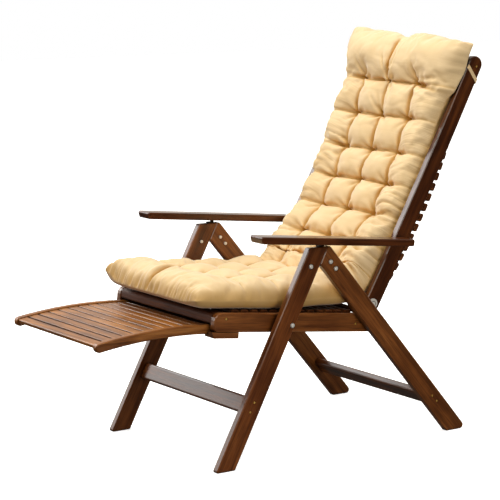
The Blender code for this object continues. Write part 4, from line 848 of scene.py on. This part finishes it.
FRAME_FACE = 0.2425              # outer faces of rails and stiles
STRAP_FACES = (60, 4)            # along and across
STRAP_WIDTH = 0.010
STRAP_THICK = 0.0008
STRAP_OFF = 0.0009               # middle of the strap off the wood
STRAP_TUCK = 0.014               # how far it runs on behind the cushion, on both edges of the stile
STRAP_FALL = 0.515               # it falls by this share of the way it goes back
STRAP_AT = Vector((0.5613, 1.0102))          # (y, z) where it comes over the stile's front edge
STILE_WAY = Vector((0.4675, 0.8840))         # up the stile's edge there
STILE_BACK = Vector((0.8840, -0.4675))       # and square to it, rearwards
STILE_WIDE = 0.0455


def make_strap(name, side, cloth):
    """A flat strap from behind the cushion over the stile's front edge, down across its face and round its rear."""
    deselect_all()
    bpy.ops.mesh.primitive_grid_add(x_subdivisions=STRAP_FACES[0], y_subdivisions=STRAP_FACES[1], size=2.0)
    strap = bpy.context.object
    strap.name = strap.data.name = f"cushion_strap_{name}"
    tilt = math.hypot(1.0, STRAP_FALL)
    length = STILE_WIDE + 2 * STRAP_TUCK
    for point in strap.data.vertices:
        reach = (point.co.x + 1.0) / 2.0 * length - STRAP_TUCK
        sideways = point.co.y * STRAP_WIDTH / 2
        reach, rise = reach + sideways * STRAP_FALL / tilt, sideways / tilt - reach * STRAP_FALL
        if reach < 0.0:
            across, back = FRAME_FACE + reach, -STRAP_OFF
        elif reach < STILE_WIDE:
            across, back = FRAME_FACE + STRAP_OFF, reach
        else:
            across, back = FRAME_FACE + STILE_WIDE - reach, STILE_WIDE + STRAP_OFF
        place = STRAP_AT + STILE_BACK * back + STILE_WAY * rise
        point.co = (side * across, place.x, place.y)
    thick = strap.modifiers.new("thick", "SOLIDIFY")
    thick.thickness = STRAP_THICK
    thick.offset = 0.0
    bpy.ops.object.modifier_apply(modifier=thick.name)
    bpy.ops.object.mode_set(mode="EDIT")
    bpy.ops.mesh.select_all(action="SELECT")
    bpy.ops.mesh.normals_make_consistent(inside=False)
    bpy.ops.object.mode_set(mode="OBJECT")
    bpy.ops.object.shade_smooth_by_angle(angle=SMOOTH_ANGLE)
    strap.data.materials.append(cloth)
    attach(strap, "back_frame")


# -------------------- bolts and screws

# Radius and height of the head, and radius of its socket.
BOLT_HEAD, SCREW_HEAD = (0.0068, 0.0046, 0.0030), (0.0034, 0.0012, 0.0018)
HEAD_SIDES, DOME_STEPS = 24, 4
DOME_SHARE, SOCKET_SHARE = 0.62, 0.55    # how much of its height is domed, and how deep the socket is
BOLT_SUNK = 0.0042               # a head starts this far inside the CAD bolt's outer face
BOLTS = (("leg_hinge_bolt", "front_legs"), ("strap_bolt_upper", "rear_legs"), ("strap_bolt_lower", "rear_legs"),
         ("seat_pivot_bolt", "seat_frame"), ("back_pivot_bolt", "back_frame"))
LEG_FACE = 0.2703
SCREWS = (
    ("front_stretcher_screw_upper", "front_legs", LEG_FACE, -0.1743, 0.1721),
    ("front_stretcher_screw_lower", "front_legs", LEG_FACE, -0.1869, 0.1481),
    ("rear_stretcher_screw_upper", "rear_legs", LEG_FACE, 0.4262, 0.1082),
    ("rear_stretcher_screw_lower", "rear_legs", LEG_FACE, 0.4424, 0.0919),
    ("rail_screw_front", "seat_frame", FRAME_FACE, -0.2427, 0.3952),
    ("rail_screw_rear", "seat_frame", FRAME_FACE, 0.1761, 0.3354),
    ("stile_screw", "back_frame", FRAME_FACE, 0.5905, 1.0092),
)


def add_head(name, sizes, place, side, metal, body):
    """A domed head on a board's face, with a socket sunk in its middle; side is where it faces along X."""
    radius, high, socket = sizes
    deselect_all()
    bpy.ops.mesh.primitive_cylinder_add(vertices=HEAD_SIDES, radius=radius, depth=high,
                                        rotation=(0.0, math.pi / 2, 0.0),
                                        location=(place[0] + side * high / 2, place[1], place[2]))
    head = bpy.context.object
    head.name = head.data.name = name
    bpy.ops.object.transform_apply(location=True, rotation=True, scale=True)
    outer = place[0] + side * high
    bpy.ops.object.mode_set(mode="EDIT")
    bpy.ops.mesh.select_all(action="DESELECT")
    bpy.ops.object.mode_set(mode="OBJECT")
    for face in head.data.polygons:
        face.select = face.normal.x * side > 0.9
    bpy.ops.object.mode_set(mode="EDIT")
    bpy.ops.mesh.bevel(offset=high * DOME_SHARE, segments=DOME_STEPS, profile=0.5, affect="EDGES")
    bpy.ops.object.mode_set(mode="OBJECT")
    for face in head.data.polygons:
        face.select = abs(face.center.x - outer) < 1e-5
    bpy.ops.object.mode_set(mode="EDIT")
    bpy.ops.mesh.inset(thickness=radius - high * DOME_SHARE - socket)
    bpy.ops.mesh.extrude_region_move(TRANSFORM_OT_translate={"value": (-side * high * SOCKET_SHARE, 0.0, 0.0)})
    bpy.ops.object.mode_set(mode="OBJECT")
    bpy.ops.object.shade_smooth_by_angle(angle=SMOOTH_ANGLE)
    head.data.materials.append(metal)
    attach(head, body)


def dress_bolts(steel):
    """Heads with sockets over the outer heads of the CAD bolts that show."""
    for bolt, body in BOLTS:
        for name, side in SIDES:
            low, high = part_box(f"{bolt}_{name}")
            face = (high[0] if side > 0 else low[0]) - side * BOLT_SUNK
            place = (face, (low[1] + high[1]) / 2, (low[2] + high[2]) / 2)
            add_head(f"{bolt}_head_{name}", BOLT_HEAD, place, side, steel, body)


def add_screws(brass):
    """Small screws in legs, rails and stiles."""
    for screw, body, face, y, z in SCREWS:
        for name, side in SIDES:
            add_head(f"{screw}_{name}", SCREW_HEAD, (side * face, y, z), side, brass, body)


# -------------------- the scene

deselect_all()
place_camera()
make_floor()
light_studio()
# Zinc plating is pale and bright, the brass of the small screws yellow, and blackened steel dark and dull.
plated_steel = clouded_metal("zinc_plated_steel", "dedbd5", "f6f4f0", 0.26, 0.40, 0.3)
aged_brass = clouded_metal("aged_brass", "c0903c", "f0c468", 0.30, 0.45, 0.3)
blackened_steel = clouded_metal("blackened_steel", "1b1714", "2f2925", 0.40, 0.60, 0.9)
finish_solids(plated_steel, blackened_steel)
dress_bolts(plated_steel)
add_screws(aged_brass)

cloth = cotton_cloth()
for name, side in SIDES:
    make_strap(name, side, cloth)
cushion = make_cushion(cloth)
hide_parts("seat_cushion", "back_cushion")
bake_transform(cushion)
